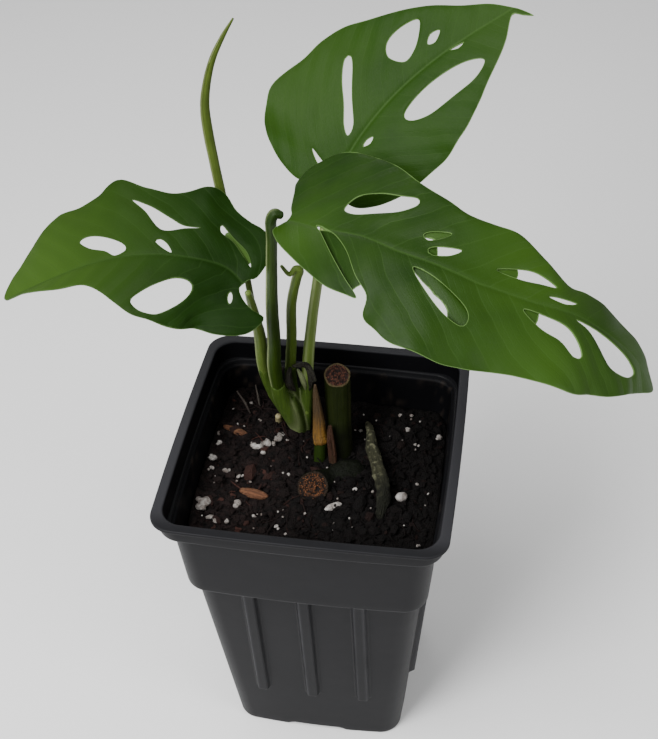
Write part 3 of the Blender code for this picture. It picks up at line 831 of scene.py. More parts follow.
@dataclass(frozen=True)
class LeafFinish(Finish):
    """A waxy leaf: deep green above, paler under, with veins and a pale edge."""

    light: Colour = (0.024, 0.07, 0.006)
    dark: Colour = (0.011, 0.037, 0.003)
    # Painted light: a lighter green for the parts of the leaf that are lit.
    fresh: Colour = (0.05, 0.11, 0.01)
    vein: Colour = (0.034, 0.075, 0.014)
    edge: Colour = (0.09, 0.16, 0.045)
    under: Colour = (0.03, 0.075, 0.01)
    quilt: float = 0.35
    vein_shows: float = 0.16
    rib_shows: float = 0.4
    spacing: float = 9.0
    sweep: float = 0.8
    curl: float = 0.01
    roughness: float = 0.42

    def paint(self, g: Graph, shader: Inputs) -> None:
        """Add veins, patches, painted light, the pale edge and the paler under side.

        Args:
            g: The tree.
            shader: The shader's inputs.
        """
        blade = g.place("blade")
        veins = use_effect(g, vein_effect(), Blade=blade, Spacing=self.spacing, Sweep=self.sweep,
                           Curl=self.curl)
        patch = patches(g, 55.0, 2.2, self.dark, self.light)
        # Painted light: the green turns lighter where the blade is marked as lit.
        colour = g.mix(g.mark("fresh"), patch["Colour"], self.fresh)
        colour = g.mix(g.times(veins["Cushion"], 0.12), colour, self.light)
        for layer, shows in (("Minor", 0.04), ("Vein", self.vein_shows), ("Rib", self.rib_shows)):
            colour = g.mix(g.times(veins[layer], shows), colour, self.vein)
        colour = g.mix(g.mark("under"), colour, g.mix(g.times(veins["Vein"], 0.5), self.under, self.vein))
        _, _, margin = g.split(blade)
        colour = g.mix(g.span(margin, 0.5, 0.95), colour, self.edge)
        g.feed(shader["Base Color"], colour)
        grain = self.grain(g, shader, 1500.0, 0.5, 0.25)
        height = g.fit(veins["Cushion"], self.quilt, g.times(grain, 0.12))
        g.feed(shader["Normal"], g.bump(g.fit(veins["Minor"], -0.05, height), 0.35))


@dataclass(frozen=True)
class StalkFinish(Finish):
    """A living stalk with long streaks, pale ridges that are partly painted highlight, and darkening: soil
    staining low down, painted shade at the foot of the cut stem.
    """

    light: Colour = (0.12, 0.17, 0.032)
    dark: Colour = (0.06, 0.1, 0.015)
    # Pale ridges: the stalk's pale margins, with a painted highlight on the side facing the light.
    ridge: Colour = (0.26, 0.31, 0.14)
    stain: Colour = (0.022, 0.014, 0.008)
    relief: float = 0.25

    def paint(self, g: Graph, shader: Inputs) -> None:
        """Add streaks, the pale ridges and the darkening: soil staining, and painted shade at the foot of the
        cut stem.

        Args:
            g: The tree.
            shader: The shader's inputs.
        """
        streak = use_effect(g, streak_effect(), Place=g.place("place"), Contrast=2.6)
        colour = g.mix(streak["Mask"], self.dark, self.light)
        patch = patches(g, 180.0, 3.0, (0.55, 0.6, 0.5), (1.0, 1.0, 1.0))
        colour = g.mix(0.45, colour, patch["Colour"], "MULTIPLY")
        colour = g.mix(g.mark("ridge"), colour, self.ridge)
        darkening = g.times(g.mark("stain"), g.fit(patch["Mask"], 0.6, 0.55), clamp=True)
        g.feed(shader["Base Color"], g.mix(darkening, colour, self.stain))
        height = g.fit(self.grain(g, shader, 1300.0, 0.4, 0.3), 0.3, streak["Height"])
        g.feed(shader["Normal"], g.bump(height, self.relief, 0.8))


@dataclass(frozen=True)
class RindFinish(Finish):
    """Dry or woody skin: streaks, blotches and a coarse grain."""

    light: Colour = (0.3, 0.2, 0.1)
    dark: Colour = (0.08, 0.05, 0.03)
    blotch: Colour = (0.2, 0.2, 0.1)
    blotch_share: float = 0.4
    streaks: float = 3.5
    relief: float = 0.5

    def paint(self, g: Graph, shader: Inputs) -> None:
        """Add streaks, blotches and grain.

        Args:
            g: The tree.
            shader: The shader's inputs.
        """
        streak = use_effect(g, streak_effect(), Place=g.place("place"), Contrast=self.streaks)
        colour = g.mix(streak["Mask"], self.dark, self.light)
        spots = g.span(g.noise(g.object_place(), 420.0, 4.0, 0.6), 0.5, 0.64)
        colour = g.mix(g.times(spots, self.blotch_share), colour, self.blotch)
        g.feed(shader["Base Color"], g.mix(g.mark("stain"), colour, self.dark))
        height = g.fit(self.grain(g, shader, 1100.0, 0.8, 0.3), 0.7, g.times(streak["Height"], 1.2))
        g.feed(shader["Normal"], g.bump(height, self.relief))


@dataclass(frozen=True)
class CutFinish(Finish):
    """The cut end of a vine, with strands in rings."""

    light: Colour = (0.15, 0.055, 0.03)
    dark: Colour = (0.016, 0.008, 0.006)
    rind: Colour = (0.06, 0.045, 0.02)
    radius: float = 5.0
    ring_scale: float = 3.4

    def paint(self, g: Graph, shader: Inputs) -> None:
        """Add the strands and the rind.

        Args:
            g: The tree.
            shader: The shader's inputs.
        """
        ends = use_effect(g, end_grain_effect(), Place=g.place("place"), Radius=self.radius,
                          Ring_Scale=self.ring_scale)
        patch = patches(g, 500.0, 3.0, (0.35, 0.3, 0.3), (1.0, 1.0, 1.0))
        colour = g.mix(ends["Strands"], self.dark, self.light)
        colour = g.mix(0.7, colour, patch["Colour"], "MULTIPLY")
        g.feed(shader["Base Color"], g.mix(ends["Rind"], colour, self.rind))
        g.feed(shader["Normal"], g.bump(g.fit(patch["Mask"], 0.4, ends["Height"]), 0.6))


@dataclass(frozen=True)
class PlasticFinish(Finish):
    """Thin moulded plastic: satin, a little mottled, scuffed and dusty."""

    colour: Colour = (0.006, 0.006, 0.007)
    scuffed: Colour = (0.0095, 0.0095, 0.0105)
    dust: Colour = (0.022, 0.017, 0.014)
    # Edge colour: real rubbing, and a painted highlight along the moulded edges.
    rubbed_and_lit: Colour = (0.03, 0.03, 0.033)
    # Painted light: a lighter grey for the top of the flange.
    rim: Colour = (0.034, 0.034, 0.038)

    def paint(self, g: Graph, shader: Inputs) -> None:
        """Add scuffs, dust, edge rubbing with a painted highlight, a painted lighter flange top and a fine
        moulded grain.

        Args:
            g: The tree.
            shader: The shader's inputs.
        """
        spot = g.object_place()
        patch = patches(g, 28.0, 1.8, self.colour, self.scuffed)
        flecks = g.span(g.noise(spot, 650.0, 3.0, 0.7), 0.66, 0.74)
        reach = g.span(g.noise(spot, 45.0, 2.0), 0.5, 0.62)
        dusty = g.math("MAXIMUM", g.times(g.times(flecks, reach), 0.7), g.mark("dust"))
        # Painted light: the flange's top is lighter, less so along its front edge.
        colour = g.mix(g.times(g.mark("rim"), 0.6), patch["Colour"], self.rim)
        # Painted highlight, with some real rubbing: the edges turn a lighter grey.
        colour = g.mix(g.mark("worn"), colour, self.rubbed_and_lit)
        g.feed(shader["Base Color"], g.mix(dusty, colour, self.dust))
        height = g.fit(g.noise(spot, 60.0, 2.0), 6.0, self.grain(g, shader, 2200.0, 0.5, 0.22))
        g.feed(shader["Normal"], g.bump(height, 0.03))


@dataclass(frozen=True)
class SoilFinish(Finish):
    """Damp potting mix: near black, with brown and reddish crumbs."""

    dark: Colour = (0.0016, 0.0012, 0.0011)
    brown: Colour = (0.0115, 0.0066, 0.006)
    red: Colour = (0.042, 0.017, 0.013)

    def paint(self, g: Graph, shader: Inputs) -> None:
        """Add crumbs of three colours, painted shade that darkens the mix to the right, and damp ones a
        little glossy.

        Args:
            g: The tree.
            shader: The shader's inputs.
        """
        tone = g.mark("tone")
        colour = patches(g, 420.0, 3.4, self.dark, self.brown)["Colour"]
        colour = g.mix(g.span(tone, 0.3, 0.75), colour, self.brown)
        colour = g.mix(g.span(tone, 0.78, 1.0), colour, self.red)
        # Painted shade: the mix blends toward near black to the right.
        x, _, _ = g.split(g.object_place())
        g.feed(shader["Base Color"], g.mix(g.span(x, -0.028, 0.006, 0.0, 0.8), colour, self.dark))
        g.feed(shader["Normal"], g.bump(self.grain(g, shader, 1400.0, 1.0, 0.8), 0.5))


@dataclass(frozen=True)
class PerliteFinish(Finish):
    """Chalky foamed grains with dark pores and soil on them."""

    chalk: Colour = (0.4, 0.38, 0.36)
    dirty: Colour = (0.1, 0.08, 0.07)

    def paint(self, g: Graph, shader: Inputs) -> None:
        """Add pores and smudges.

        Args:
            g: The tree.
            shader: The shader's inputs.
        """
        patch = patches(g, 330.0, 3.2, self.dirty, self.chalk)
        pores = g.span(g.cells(g.object_place(), 1500.0), 0.08, 0.3, 1.0, 0.0)
        colour = g.mix(g.times(pores, 0.5), patch["Colour"], self.dirty)
        g.feed(shader["Base Color"], g.mix(g.times(g.mark("tone"), 0.6), colour, self.dirty))
        g.feed(shader["Normal"], g.bump(g.fit(pores, -1.0, patch["Mask"]), 0.35))


@dataclass(frozen=True)
class FloorFinish(Finish):
    """A pale, even, matt floor."""

    colour: Colour = (0.86, 0.86, 0.86)

    def paint(self, g: Graph, shader: Inputs) -> None:
        """Set the colour, with the least unevenness in the gloss.

        Args:
            g: The tree.
            shader: The shader's inputs.
        """
        shader["Base Color"].default_value = (*self.colour, 1.0)
        self.grain(g, shader, 30.0, 0.0, 0.1)


# The pot


@dataclass
class NurseryPot:
    """A thin square pot: flanged rim, band, shoulder and a ribbed lower body on four feet."""

    height: float = 140.0
    rim_half: float = 52.5
    rim_corner: float = 8.6
    lip_thickness: float = 1.3
    band_half: float = 50.8
    band_depth: float = 8.0
    mouth_half: float = 48.7
    shoulder_half: float = 47.3
    step_z: float = 99.0
    step_half: float = 45.2
    lower_top_half: float = 42.7
    base_half: float = 34.7
    wall: float = 1.2
    side_bow: float = 1.0
    rim_bow: float = 0.59
    floor_z: float = 4.0
    foot_height: float = 2.2
    rib_centres: Tuple[float, ...] = (-20.5, 0.0, 20.5)
    rib_half_width: float = 3.2
    rib_round: float = 2.0
    rib_edge: float = 1.6
    # Rubbing and painted highlight on each rib's left and right edges; the left edges face the light and are
    # brighter.
    rib_wear_and_light: Tuple[Flat, ...] = ((1.0, 0.12), (1.0, 0.2), (0.6, 0.8))
    rib_stands: float = 2.2
    rib_end_z: float = 29.0
    notch_half: float = 13.0
    notch_flare: float = 4.0
    hub_radius: float = 7.0
    drain_radius: float = 2.8
    drain_reach: float = 22.0
    drain_nudge: float = 0.2
    drain_sides: int = 20
    corner_steps: int = 14
    outer_columns: int = 6
    arc_steps: int = 5
    lip_rings: int = 3
    base_shares: Tuple[float, ...] = (0.12, 0.2, 0.24, 0.31, 0.42, 0.54, 0.66, 0.78, 0.88, 0.96)
    floor_shares: Tuple[float, ...] = (0.8, 0.5, 0.2)
    off_side: float = 99.0

    def lower_half(self, z: float) -> float:
        """Half width of the lower body at a height."""
        return self.base_half + (self.lower_top_half - self.base_half) * z / self.step_z

    def profile(self) -> List[Tuple[float, float, float, float, float, float]]:
        """Turning points of the wall, up the outside and down the inside.

        Returns:
            Half width, height, corner radius, bow, rounding, and edge rubbing with painted highlight at each
            point.
        """
        band_z = self.height - self.band_depth
        lip_z = self.height - self.lip_thickness
        bow, flat = self.side_bow, self.rim_bow
        return [
            (self.base_half - 0.2, 0.0, 8.6, bow, 1.2, 0.1),
            (self.lower_half(97.2), 97.2, 9.0, bow, 0.9, 0.0),
            (self.step_half, self.step_z, 9.0, bow, 0.8, 0.75),
            (self.shoulder_half, band_z, 9.0, bow, 0.7, 0.0),
            (self.band_half - 0.2, band_z + 0.3, 9.0, bow, 0.8, 1.0),
            (self.band_half, lip_z - 0.1, 9.0, bow, 0.5, 0.0),
            (self.rim_half, lip_z, self.rim_corner, flat, 0.45, 0.25),
            (self.rim_half, self.height, self.rim_corner, flat, 0.6, 0.15),
            (self.mouth_half, self.height, 8.0, flat, 0.9, 0.2),
            (self.mouth_half - 0.5, band_z - 1.0, 8.0, flat, 0.8, 0.3),
            (self.shoulder_half - self.wall, band_z - 2.0, 8.0, bow, 0.8, 0.3),
            (self.step_half - self.wall, self.step_z, 8.0, bow, 0.8, 0.0),
            (self.lower_top_half - self.wall, self.step_z - 2.0, 8.0, bow, 0.8, 0.0),
            (self.lower_half(self.floor_z) - self.wall, self.floor_z, 8.0, bow, 1.5, 0.0),
        ]

    def stations(self) -> np.ndarray:
        """Half width, height, corner radius, bow, and edge rubbing with painted highlight along the rounded
        profile.

        Returns:
            One row for each height.
        """
        turns = np.array(self.profile())
        inward = turns[[0, -1]] - np.array([20.0, 0, 0, 0, 0, 0])
        held = np.vstack([inward[:1], turns, inward[1:]])
        rows: List[np.ndarray] = []
        left = None
        for before, here, after in zip(held, turns, held[2:]):
            to_before, to_after = (np.linalg.norm((end - here)[:2]) for end in (before, after))
            trim = min(here[4], min(to_before, to_after) * 0.45)
            first = here[:4] + (before - here)[:4] * trim / to_before
            last = here[:4] + (after - here)[:4] * trim / to_after
            turn = np.linspace(0, 1, self.arc_steps + 1)[:, None]
            arc = (1 - turn) ** 2 * first + 2 * turn * (1 - turn) * here[:4] + turn**2 * last
            if left is not None:
                rows += self.between(left, first)
            rows += list(np.hstack([arc, here[5] * np.sin(math.pi * turn)]))
            left = last
        return np.array(rows)

    def between(self, start: np.ndarray, end: np.ndarray) -> List[np.ndarray]:
        """Fill a straight stretch, closer together where the ribs begin and end.

        Args:
            start: Half width, height, corner radius and bow where it starts.
            end: The same where it ends.

        Returns:
            The rows between them, with neither edge rubbing nor painted highlight.
        """
        heights = [start[1]]
        down = 1.0 if end[1] > start[1] else -1.0
        while (end[1] - heights[-1]) * down > 0:
            z = heights[-1]
            close = self.rib_end_z - 1.0 < z < self.rib_end_z + 5.0 or self.step_z - 4.0 < z < self.step_z
            heights.append(z + down * (0.5 if close else 2.5))
        shares = (np.array(heights[1:-1]) - start[1]) / ((end[1] - start[1]) or 1.0)
        return [np.append(start + (end - start) * share, 0.0) for share in shares if share < 0.98]

    def flat_ring(self, half: float, corner: float, bow: float) -> Tuple[np.ndarray, np.ndarray, np.ndarray]:
        """Draw a rounded square whose sides bow out a little.

        Args:
            half: Half width at the corners.
            corner: Corner radius.
            bow: How far the middle of each side stands out.

        Returns:
            Its points, its outward directions, and its places along each side.
        """
        reach = half - corner
        still = self.columns()
        outer = still[-1] + (reach - still[-1]) * np.arange(1, self.outer_columns + 1) / self.outer_columns
        x = np.concatenate([-outer[::-1], still, outer])
        angle = -math.pi / 2 + np.arange(1, self.corner_steps) * math.pi / 2 / self.corner_steps
        side = np.stack([x, -(half + bow * (1 - (x / reach) ** 2))], 1)
        bend = np.stack([reach + corner * np.cos(angle), -reach + corner * np.sin(angle)], 1)
        straight = np.tile([0.0, -1.0], (len(x), 1))
        ring = np.vstack([side, bend])
        out = np.vstack([straight, np.stack([np.cos(angle), np.sin(angle)], 1)])
        along = np.concatenate([x, np.full(len(angle), self.off_side)])
        rings, outs = [], []
        for quarter in range(4):
            c, s = math.cos(quarter * math.pi / 2), math.sin(quarter * math.pi / 2)
            for rows, turned in ((ring, rings), (out, outs)):
                turned.append(np.stack([rows[:, 0] * c - rows[:, 1] * s, rows[:, 0] * s + rows[:, 1] * c], 1))
        return np.vstack(rings), np.vstack(outs), np.tile(along, 4)

    def columns(self) -> np.ndarray:
        """Places along a side that are the same at every height, close together at the ribs' edges.

        Returns:
            The places in millimetres from the middle of the side.
        """
        half, edge = self.rib_half_width, self.rib_edge
        inward = np.array([1.9, 1.5, 1.15, 1.0, 0.85, 0.65, 0.45, 0.25, 0.0])
        out = np.concatenate([half - edge * inward, [half + 0.5]])
        near = np.concatenate([-out[::-1], out])
        rows = [centre + near for centre in self.rib_centres]
        for left, right in zip(self.rib_centres[:-1], self.rib_centres[1:]):
            rows.append(np.linspace(left + half + 0.5, right - half - 0.5, 10)[1:-1])
        return np.sort(np.concatenate(rows))

    def rib(self, along: np.ndarray, z: float, half: float) -> Tuple[np.ndarray, np.ndarray]:
        """Shape the ribs at one height.

        Args:
            along: Places along a side.
            z: The height.
            half: Half width of the wall there.

        Returns:
            How far the ribs stand out, and how much rubbing and painted highlight their edges carry.
        """
        drop = max(self.rib_end_z + self.rib_round - z, 0.0)
        shape, worn = np.zeros(len(along)), np.zeros(len(along))
        for centre, (left_wear_and_light, right_wear_and_light) in zip(self.rib_centres, self.rib_wear_and_light):
            past = np.maximum(np.abs(along - centre) - (self.rib_half_width - self.rib_round), 0.0)
            depth = (self.rib_round - np.hypot(past, drop)) / self.rib_edge
            shape = np.maximum(shape, ease(depth))
            wear_and_light = np.where(along < centre, left_wear_and_light, right_wear_and_light) * (past > 0.1)
            worn = np.maximum(worn, wear_and_light * np.exp(-(((depth - 0.75) / 0.42) ** 2)))
        stands = shape * self.rib_stands - max(half - self.lower_half(z), 0.0)
        return np.maximum(stands, 0.0), worn * (stands > 0)

    def underside(self, flat: np.ndarray) -> np.ndarray:
        """Shape the base: four corner feet and a middle pad, with hollows between.

        Args:
            flat: Flat places under the pot.

        Returns:
            Height of the base there.
        """
        x, y = np.abs(flat[:, 0]), np.abs(flat[:, 1])
        out = np.maximum(x, y)
        share = np.clip((out - self.hub_radius) / (self.base_half + 6.0 - self.hub_radius), 0, 1)
        half = self.notch_half * (0.42 + 0.58 * share)
        hollow = ease((half + self.notch_flare / 2 - np.minimum(x, y)) / self.notch_flare)
        return self.foot_height * hollow * ease((out - self.hub_radius) / 1.5)

    def draw_wall(self, stations: np.ndarray, inner_from: int) -> Tuple[List[np.ndarray], np.ndarray]:
        """Draw the wall with its ribs and feet.

        Args:
            stations: The rounded profile.
            inner_from: Number of the first station inside the pot.

        Returns:
            One ring for each station, and how much rubbing and painted highlight each point carries.
        """
        rings, rubbed_and_lit = [], []
        for number, (half, z, corner, bow, edge) in enumerate(stations):
            ring, out, along = self.flat_ring(half, corner, bow)
            rub_and_light = np.full(len(ring), edge)
            level = np.full(len(ring), z)
            if number < inner_from and self.foot_height < z < self.step_z:
                stands, rib_rub_and_light = self.rib(along, z, half)
                ring = ring + out * stands[:, None]
                rub_and_light = np.maximum(rub_and_light * (stands <= 0), rib_rub_and_light)
            if number < inner_from and z < self.foot_height:
                level = z + (np.maximum(self.underside(ring), z) - z)
            rings.append(np.column_stack([ring, level]))
            rubbed_and_lit.append(rub_and_light)
        return rings, np.concatenate(rubbed_and_lit)

    def floor_rings(self, station: np.ndarray, shares: Sequence[float], inside_pot: bool) -> List[np.ndarray]:
        """Draw rings across the base or the floor.

        Args:
            station: The profile's end that they start from.
            shares: Size of each ring as a share of that end's.
            inside_pot: Whether they lie on the floor inside, or under the base.

        Returns:
            The rings.
        """
        edge, _, _ = self.flat_ring(*station[[0, 2, 3]])
        rings = []
        for share in shares:
            flat = edge * share
            level = np.full(len(flat), self.floor_z) if inside_pot else self.underside(flat)
            rings.append(np.column_stack([flat, level]))
        return rings

    def wear_and_light(self, body: np.ndarray, inward: np.ndarray, rubbed_and_lit: np.ndarray) -> Marks:
        """Say where the pot is dusty, where its edges carry rubbing and a painted highlight, and where the
        top of its flange is painted lighter.

        Args:
            body: All its points.
            inward: 1 for points inside the pot, else 0.
            rubbed_and_lit: How much rubbing and painted edge highlight each point may carry.

        Returns:
            The marks.
        """
        dust = ease((body[:, 2] - 108.0) / 8.0) * ease((136.0 - body[:, 2]) / 8.0)
        dust *= (np.maximum(np.abs(body[:, 0]), np.abs(body[:, 1])) < self.shoulder_half + 0.2)
        dust *= np.clip(rough(body, 3.0, 4, 3) * 2.4 - 0.5, 0, 0.8)
        patchy = np.clip(0.75 + 0.9 * rough(body, 14.0, 6, 3), 0.15, 1.0)
        # Painted light: the top of the flange is marked lighter, only a little along its front edge.
        top = ease((body[:, 2] - self.height + 0.7) / 0.5) * (0.15 + 0.85 * ease((body[:, 1] + 51.0) / 8.0))
        return {"dust": dust * inward, "worn": rubbed_and_lit * patchy, "rim": top}

    def build(self, finish: Finish, shaded_inside_finish: Finish) -> bpy.types.Object:
        """Make the pot as one closed body and cut its drain holes.

        Args:
            finish: Surface of the outside.
            shaded_inside_finish: Surface of the inside: the same plastic painted much darker, as painted
                shade.

        Returns:
            The pot.
        """
        stations = self.stations()
        inner_from = int(np.argmax(stations[:, 1])) + self.lip_rings
        walls, worn = self.draw_wall(stations, inner_from)
        under = self.floor_rings(stations[0], self.base_shares, False)
        rings = under + walls + self.floor_rings(stations[-1], self.floor_shares, True)
        count = len(rings[0])
        total = len(rings) * count
        faces = ring_faces(len(rings), count)
        faces += [((i + 1) % count, i, total) for i in range(count)]
        last = total - count
        faces += [(last + i, last + (i + 1) % count, total + 1) for i in range(count)]
        body = np.vstack(rings + [np.array([[0, 0, 0.0], [0, 0, self.floor_z]])])
        start, inner = len(under) * count, (len(under) + inner_from) * count
        rubbed_and_lit, inward = np.zeros(len(body)), np.zeros(len(body))
        rubbed_and_lit[start : start + len(worn)] = worn
        inward[inner:] = 1.0
        slots = np.zeros(len(faces), np.int32)
        slots[inner:] = 1
        slots[-2 * count : -count] = 0
        surfaces = [finish.make(), shaded_inside_finish.make()]
        pot = add_piece("pot", body, faces, surfaces, self.wear_and_light(body, inward, rubbed_and_lit), slots, crease=50.0)
        self.drill(pot)
        return pot

    def drill(self, pot: bpy.types.Object) -> None:
        """Cut two round drain holes through the base on each side.

        Args:
            pot: The pot.
        """
        points, faces = [], []
        angles = 2 * math.pi * np.arange(self.drain_sides) / self.drain_sides
        for quarter in range(4):
            for nudge in (-self.drain_nudge, self.drain_nudge):
                turn = quarter * math.pi / 2 + nudge
                x, y = self.drain_reach * math.sin(turn), -self.drain_reach * math.cos(turn)
                faces += tube_faces(2, self.drain_sides, len(points))
                ring = [(x + self.drain_radius * math.cos(angle), y + self.drain_radius * math.sin(angle))
                        for angle in angles]
                for z in (-2.0, self.floor_z + 2.0):
                    points += [(*spot, z) for spot in ring]
        cutter = add_piece("drain cutter", np.array(points), faces, [])
        cut = pot.modifiers.new("drain holes", "BOOLEAN")
        cut.operation = "DIFFERENCE"
        cut.solver = "EXACT"
        cut.object = cutter
        with bpy.context.temp_override(object=pot, active_object=pot, selected_objects=[pot]):
            bpy.ops.object.modifier_apply(modifier=cut.name)
        bpy.data.objects.remove(cutter)


# The potting mix and what lies on it


@dataclass
class PottingMix:
    """Peat and bark fines with a lumpy top, and loose crumbs, fibres and grains on it."""

    pot: NurseryPot
    top_z: float = 117.0
    slope: float = 0.055
    edge_drop: float = 1.5
    gap: float = 0.25
    grid: float = 0.95
    crumbs: int = 3400
    fibres: int = 330
    crumb_stretch: Tuple[Tuple[float, float], ...] = ((0.8, 1.7), (0.6, 1.0), (0.45, 0.85))
    fibre_sides: int = 4
    fibre_steps: int = 6
    corner: float = 8.0
    seed: int = 7

    def height(self, x: np.ndarray, y: np.ndarray) -> np.ndarray:
        """Shape the top of the mix without its crumbs.

        Args:
            x: Places to the right.
            y: Places to the back.

        Returns:
            Its height there.
        """
        edge = np.maximum(np.abs(x), np.abs(y)) / self.pot.shoulder_half
        swell = np.sin(x * 0.11 + 1.0) * np.cos(y * 0.09 + 0.5)
        heap = 2.2 * np.exp(-((x + 24.0) ** 2 + (y - 24.0) ** 2) / 150.0)
        return self.top_z - self.slope * x + swell + heap - self.edge_drop * edge**4

    def relief(self, x: np.ndarray, y: np.ndarray) -> np.ndarray:
        """Add lumps and hollows of several sizes to the top.

        Args:
            x: Places to the right.
            y: Places to the back.

        Returns:
            Its height there.
        """
        flat = np.stack([x, y, np.zeros_like(x)], 1)
        lumps = 1.0 * rough(flat, 9.0, 1, 2)
        clods = 1.15 * (1 - 2 * np.abs(rough(flat, 3.6, 2, 2)))
        fine = 0.5 * rough(flat, 1.5, 3, 2)
        hollow = 1.6 * np.exp(-((x + 2.5) ** 2 + (y - 8.0) ** 2) / 22.0)
        return self.height(x, y) + lumps + clods + fine - hollow - 0.7

    def build(self, finish: Finish) -> bpy.types.Object:
        """Make the body of mix that fills the pot.

        Args:
            finish: Its surface.

        Returns:
            The mix.
        """
        pot = self.pot
        inner = pot.wall + self.gap
        levels = ((pot.floor_z + 0.3, pot.lower_half(pot.floor_z)), (pot.step_z - 2.0, pot.lower_top_half),
                  (pot.step_z + 0.3, pot.step_half))
        rings = []
        for z, half in levels:
            ring, _, _ = pot.flat_ring(half - inner, self.corner, pot.side_bow)
            rings.append(np.column_stack([ring, np.full(len(ring), z)]))
        ring, _, _ = pot.flat_ring(pot.step_half + 1.0 - inner, self.corner, pot.side_bow)
        rings.append(np.column_stack([ring, self.relief(ring[:, 0], ring[:, 1])]))
        count = len(ring)
        reach = float(np.abs(ring).max())
        steps = np.arange(-reach, reach, self.grid)
        flat = np.stack([row.ravel() for row in np.meshgrid(steps, steps)], 1)
        flat += np.random.default_rng(self.seed).uniform(-0.3, 0.3, flat.shape)
        flat = flat[inside(flat, ring)]
        flat = flat[distance(flat, ring) > 0.5]
        faces = ring_faces(len(rings), count)
        start = (len(rings) - 1) * count
        top = fill(np.vstack([ring, flat]), [ring])
        faces += [tuple(int(start + i) for i in triangle) for triangle in top]
        faces.append(tuple(range(count - 1, -1, -1)))
        body = np.vstack(rings + [np.column_stack([flat, self.relief(flat[:, 0], flat[:, 1])])])
        tone = np.clip(0.3 + 0.5 * rough(body, 4.0, 9, 3), 0, 1)
        return add_piece("potting_mix", body, faces, [finish.make()], {"tone": tone}, crease=180.0)

    def spots(self, count: int, draw: np.random.Generator, clear: float = 1.0) -> np.ndarray:
        """Draw random places on the mix, inside the pot's wall.

        Args:
            count: How many there may be.
            draw: Source of the random places.
            clear: How far they stay from the wall.

        Returns:
            The places, on the top of the mix.
        """
        half = self.pot.step_half - self.pot.wall - clear
        flat = draw.uniform(-half, half, (count * 2, 2))
        past = np.maximum(np.abs(flat) - half + self.corner, 0)
        flat = flat[np.hypot(past[:, 0], past[:, 1]) < self.corner][:count]
        return np.column_stack([flat, self.relief(flat[:, 0], flat[:, 1])])

    def build_crumbs(self, finish: Finish) -> bpy.types.Object:
        """Scatter loose crumbs over the top.

        Args:
            finish: Their surface.

        Returns:
            The crumbs.
        """
        draw = np.random.default_rng(self.seed + 1)
        places = self.spots(self.crumbs, draw)
        count = len(places)
        sizes = np.clip(draw.lognormal(-0.3, 0.55, count), 0.35, 2.9)
        places[:, 2] += sizes * 0.12
        stretch = np.column_stack([draw.uniform(*span, count) for span in self.crumb_stretch])
        points, faces, owner = scatter_grains(places, stretch * sizes[:, None], draw, False)
        tone = draw.uniform(0, 1, count) ** 2.4
        return add_piece("potting_crumbs", points, faces, [finish.make()], {"tone": tone[owner]}, crease=25.0)

    def fibre(self, middle: np.ndarray, draw: np.random.Generator) -> Tuple[List[np.ndarray], float]:
        """Bend one fibre over the top.

        Args:
            middle: Where its middle lies.
            draw: Source of its random length, turn, bend, radius, tilt and tone.

        Returns:
            Its points, ring by ring, and its tone.
        """
        length = draw.uniform(3.0, 11.0)
        turn = draw.uniform(0, math.pi)
        bend = draw.uniform(-0.9, 0.9)
        radius = draw.uniform(0.12, 0.38)
        tilt = draw.uniform(-0.12, 0.2)
        tone = draw.uniform(0.2, 1.0)
        s = np.linspace(-0.5, 0.5, self.fibre_steps + 1)
        heading = turn + bend * s
        half = self.pot.step_half - self.pot.wall - 1.2
        x = np.clip(middle[0] + np.cos(heading) * s * length, -half, half)
        y = np.clip(middle[1] + np.sin(heading) * s * length, -half, half)
        z = np.maximum(self.height(x, y) + 0.4, self.relief(x, y)) + radius + s * length * tilt
        points = []
        for k, way in enumerate(heading):
            across = np.array([-math.sin(way), math.cos(way), 0.0])
            taper = max(radius * (1 - abs(s[k]) ** 2 * 2.4), 0.05)
            for i in range(self.fibre_sides):
                angle = 2 * math.pi * i / self.fibre_sides
                offset = across * math.cos(angle) + np.array([0, 0, math.sin(angle)])
                points.append(np.array([x[k], y[k], z[k]]) + offset * taper)
        return points, tone

    def build_fibres(self, finish: Finish) -> bpy.types.Object:
        """Lay thin fibres and splinters over the top.

        Args:
            finish: Their surface.

        Returns:
            The fibres.
        """
        draw = np.random.default_rng(self.seed + 2)
        points, faces, tones = [], [], []
        for middle in self.spots(self.fibres, draw, 5.0):
            faces += tube_faces(self.fibre_steps + 1, self.fibre_sides, len(points))
            more, tone = self.fibre(middle, draw)
            points += more
            tones += [tone] * len(more)
        marks = {"tone": np.array(tones)}
        return add_piece("potting_fibres", np.array(points), faces, [finish.make()], marks, crease=60.0)


def ball(finer: bool) -> Tuple[np.ndarray, np.ndarray]:
    """Make a ball of triangles.

    Args:
        finer: Whether it has many faces or 20.

    Returns:
        Its corners and its triangles.
    """
    work = bmesh.new()
    bmesh.ops.create_icosphere(work, subdivisions=3 if finer else 1, radius=1.0)
    work.verts.ensure_lookup_table()
    points = np.array([tuple(v.co) for v in work.verts])
    faces = np.array([[v.index for v in f.verts] for f in work.faces])
    work.free()
    return points, faces


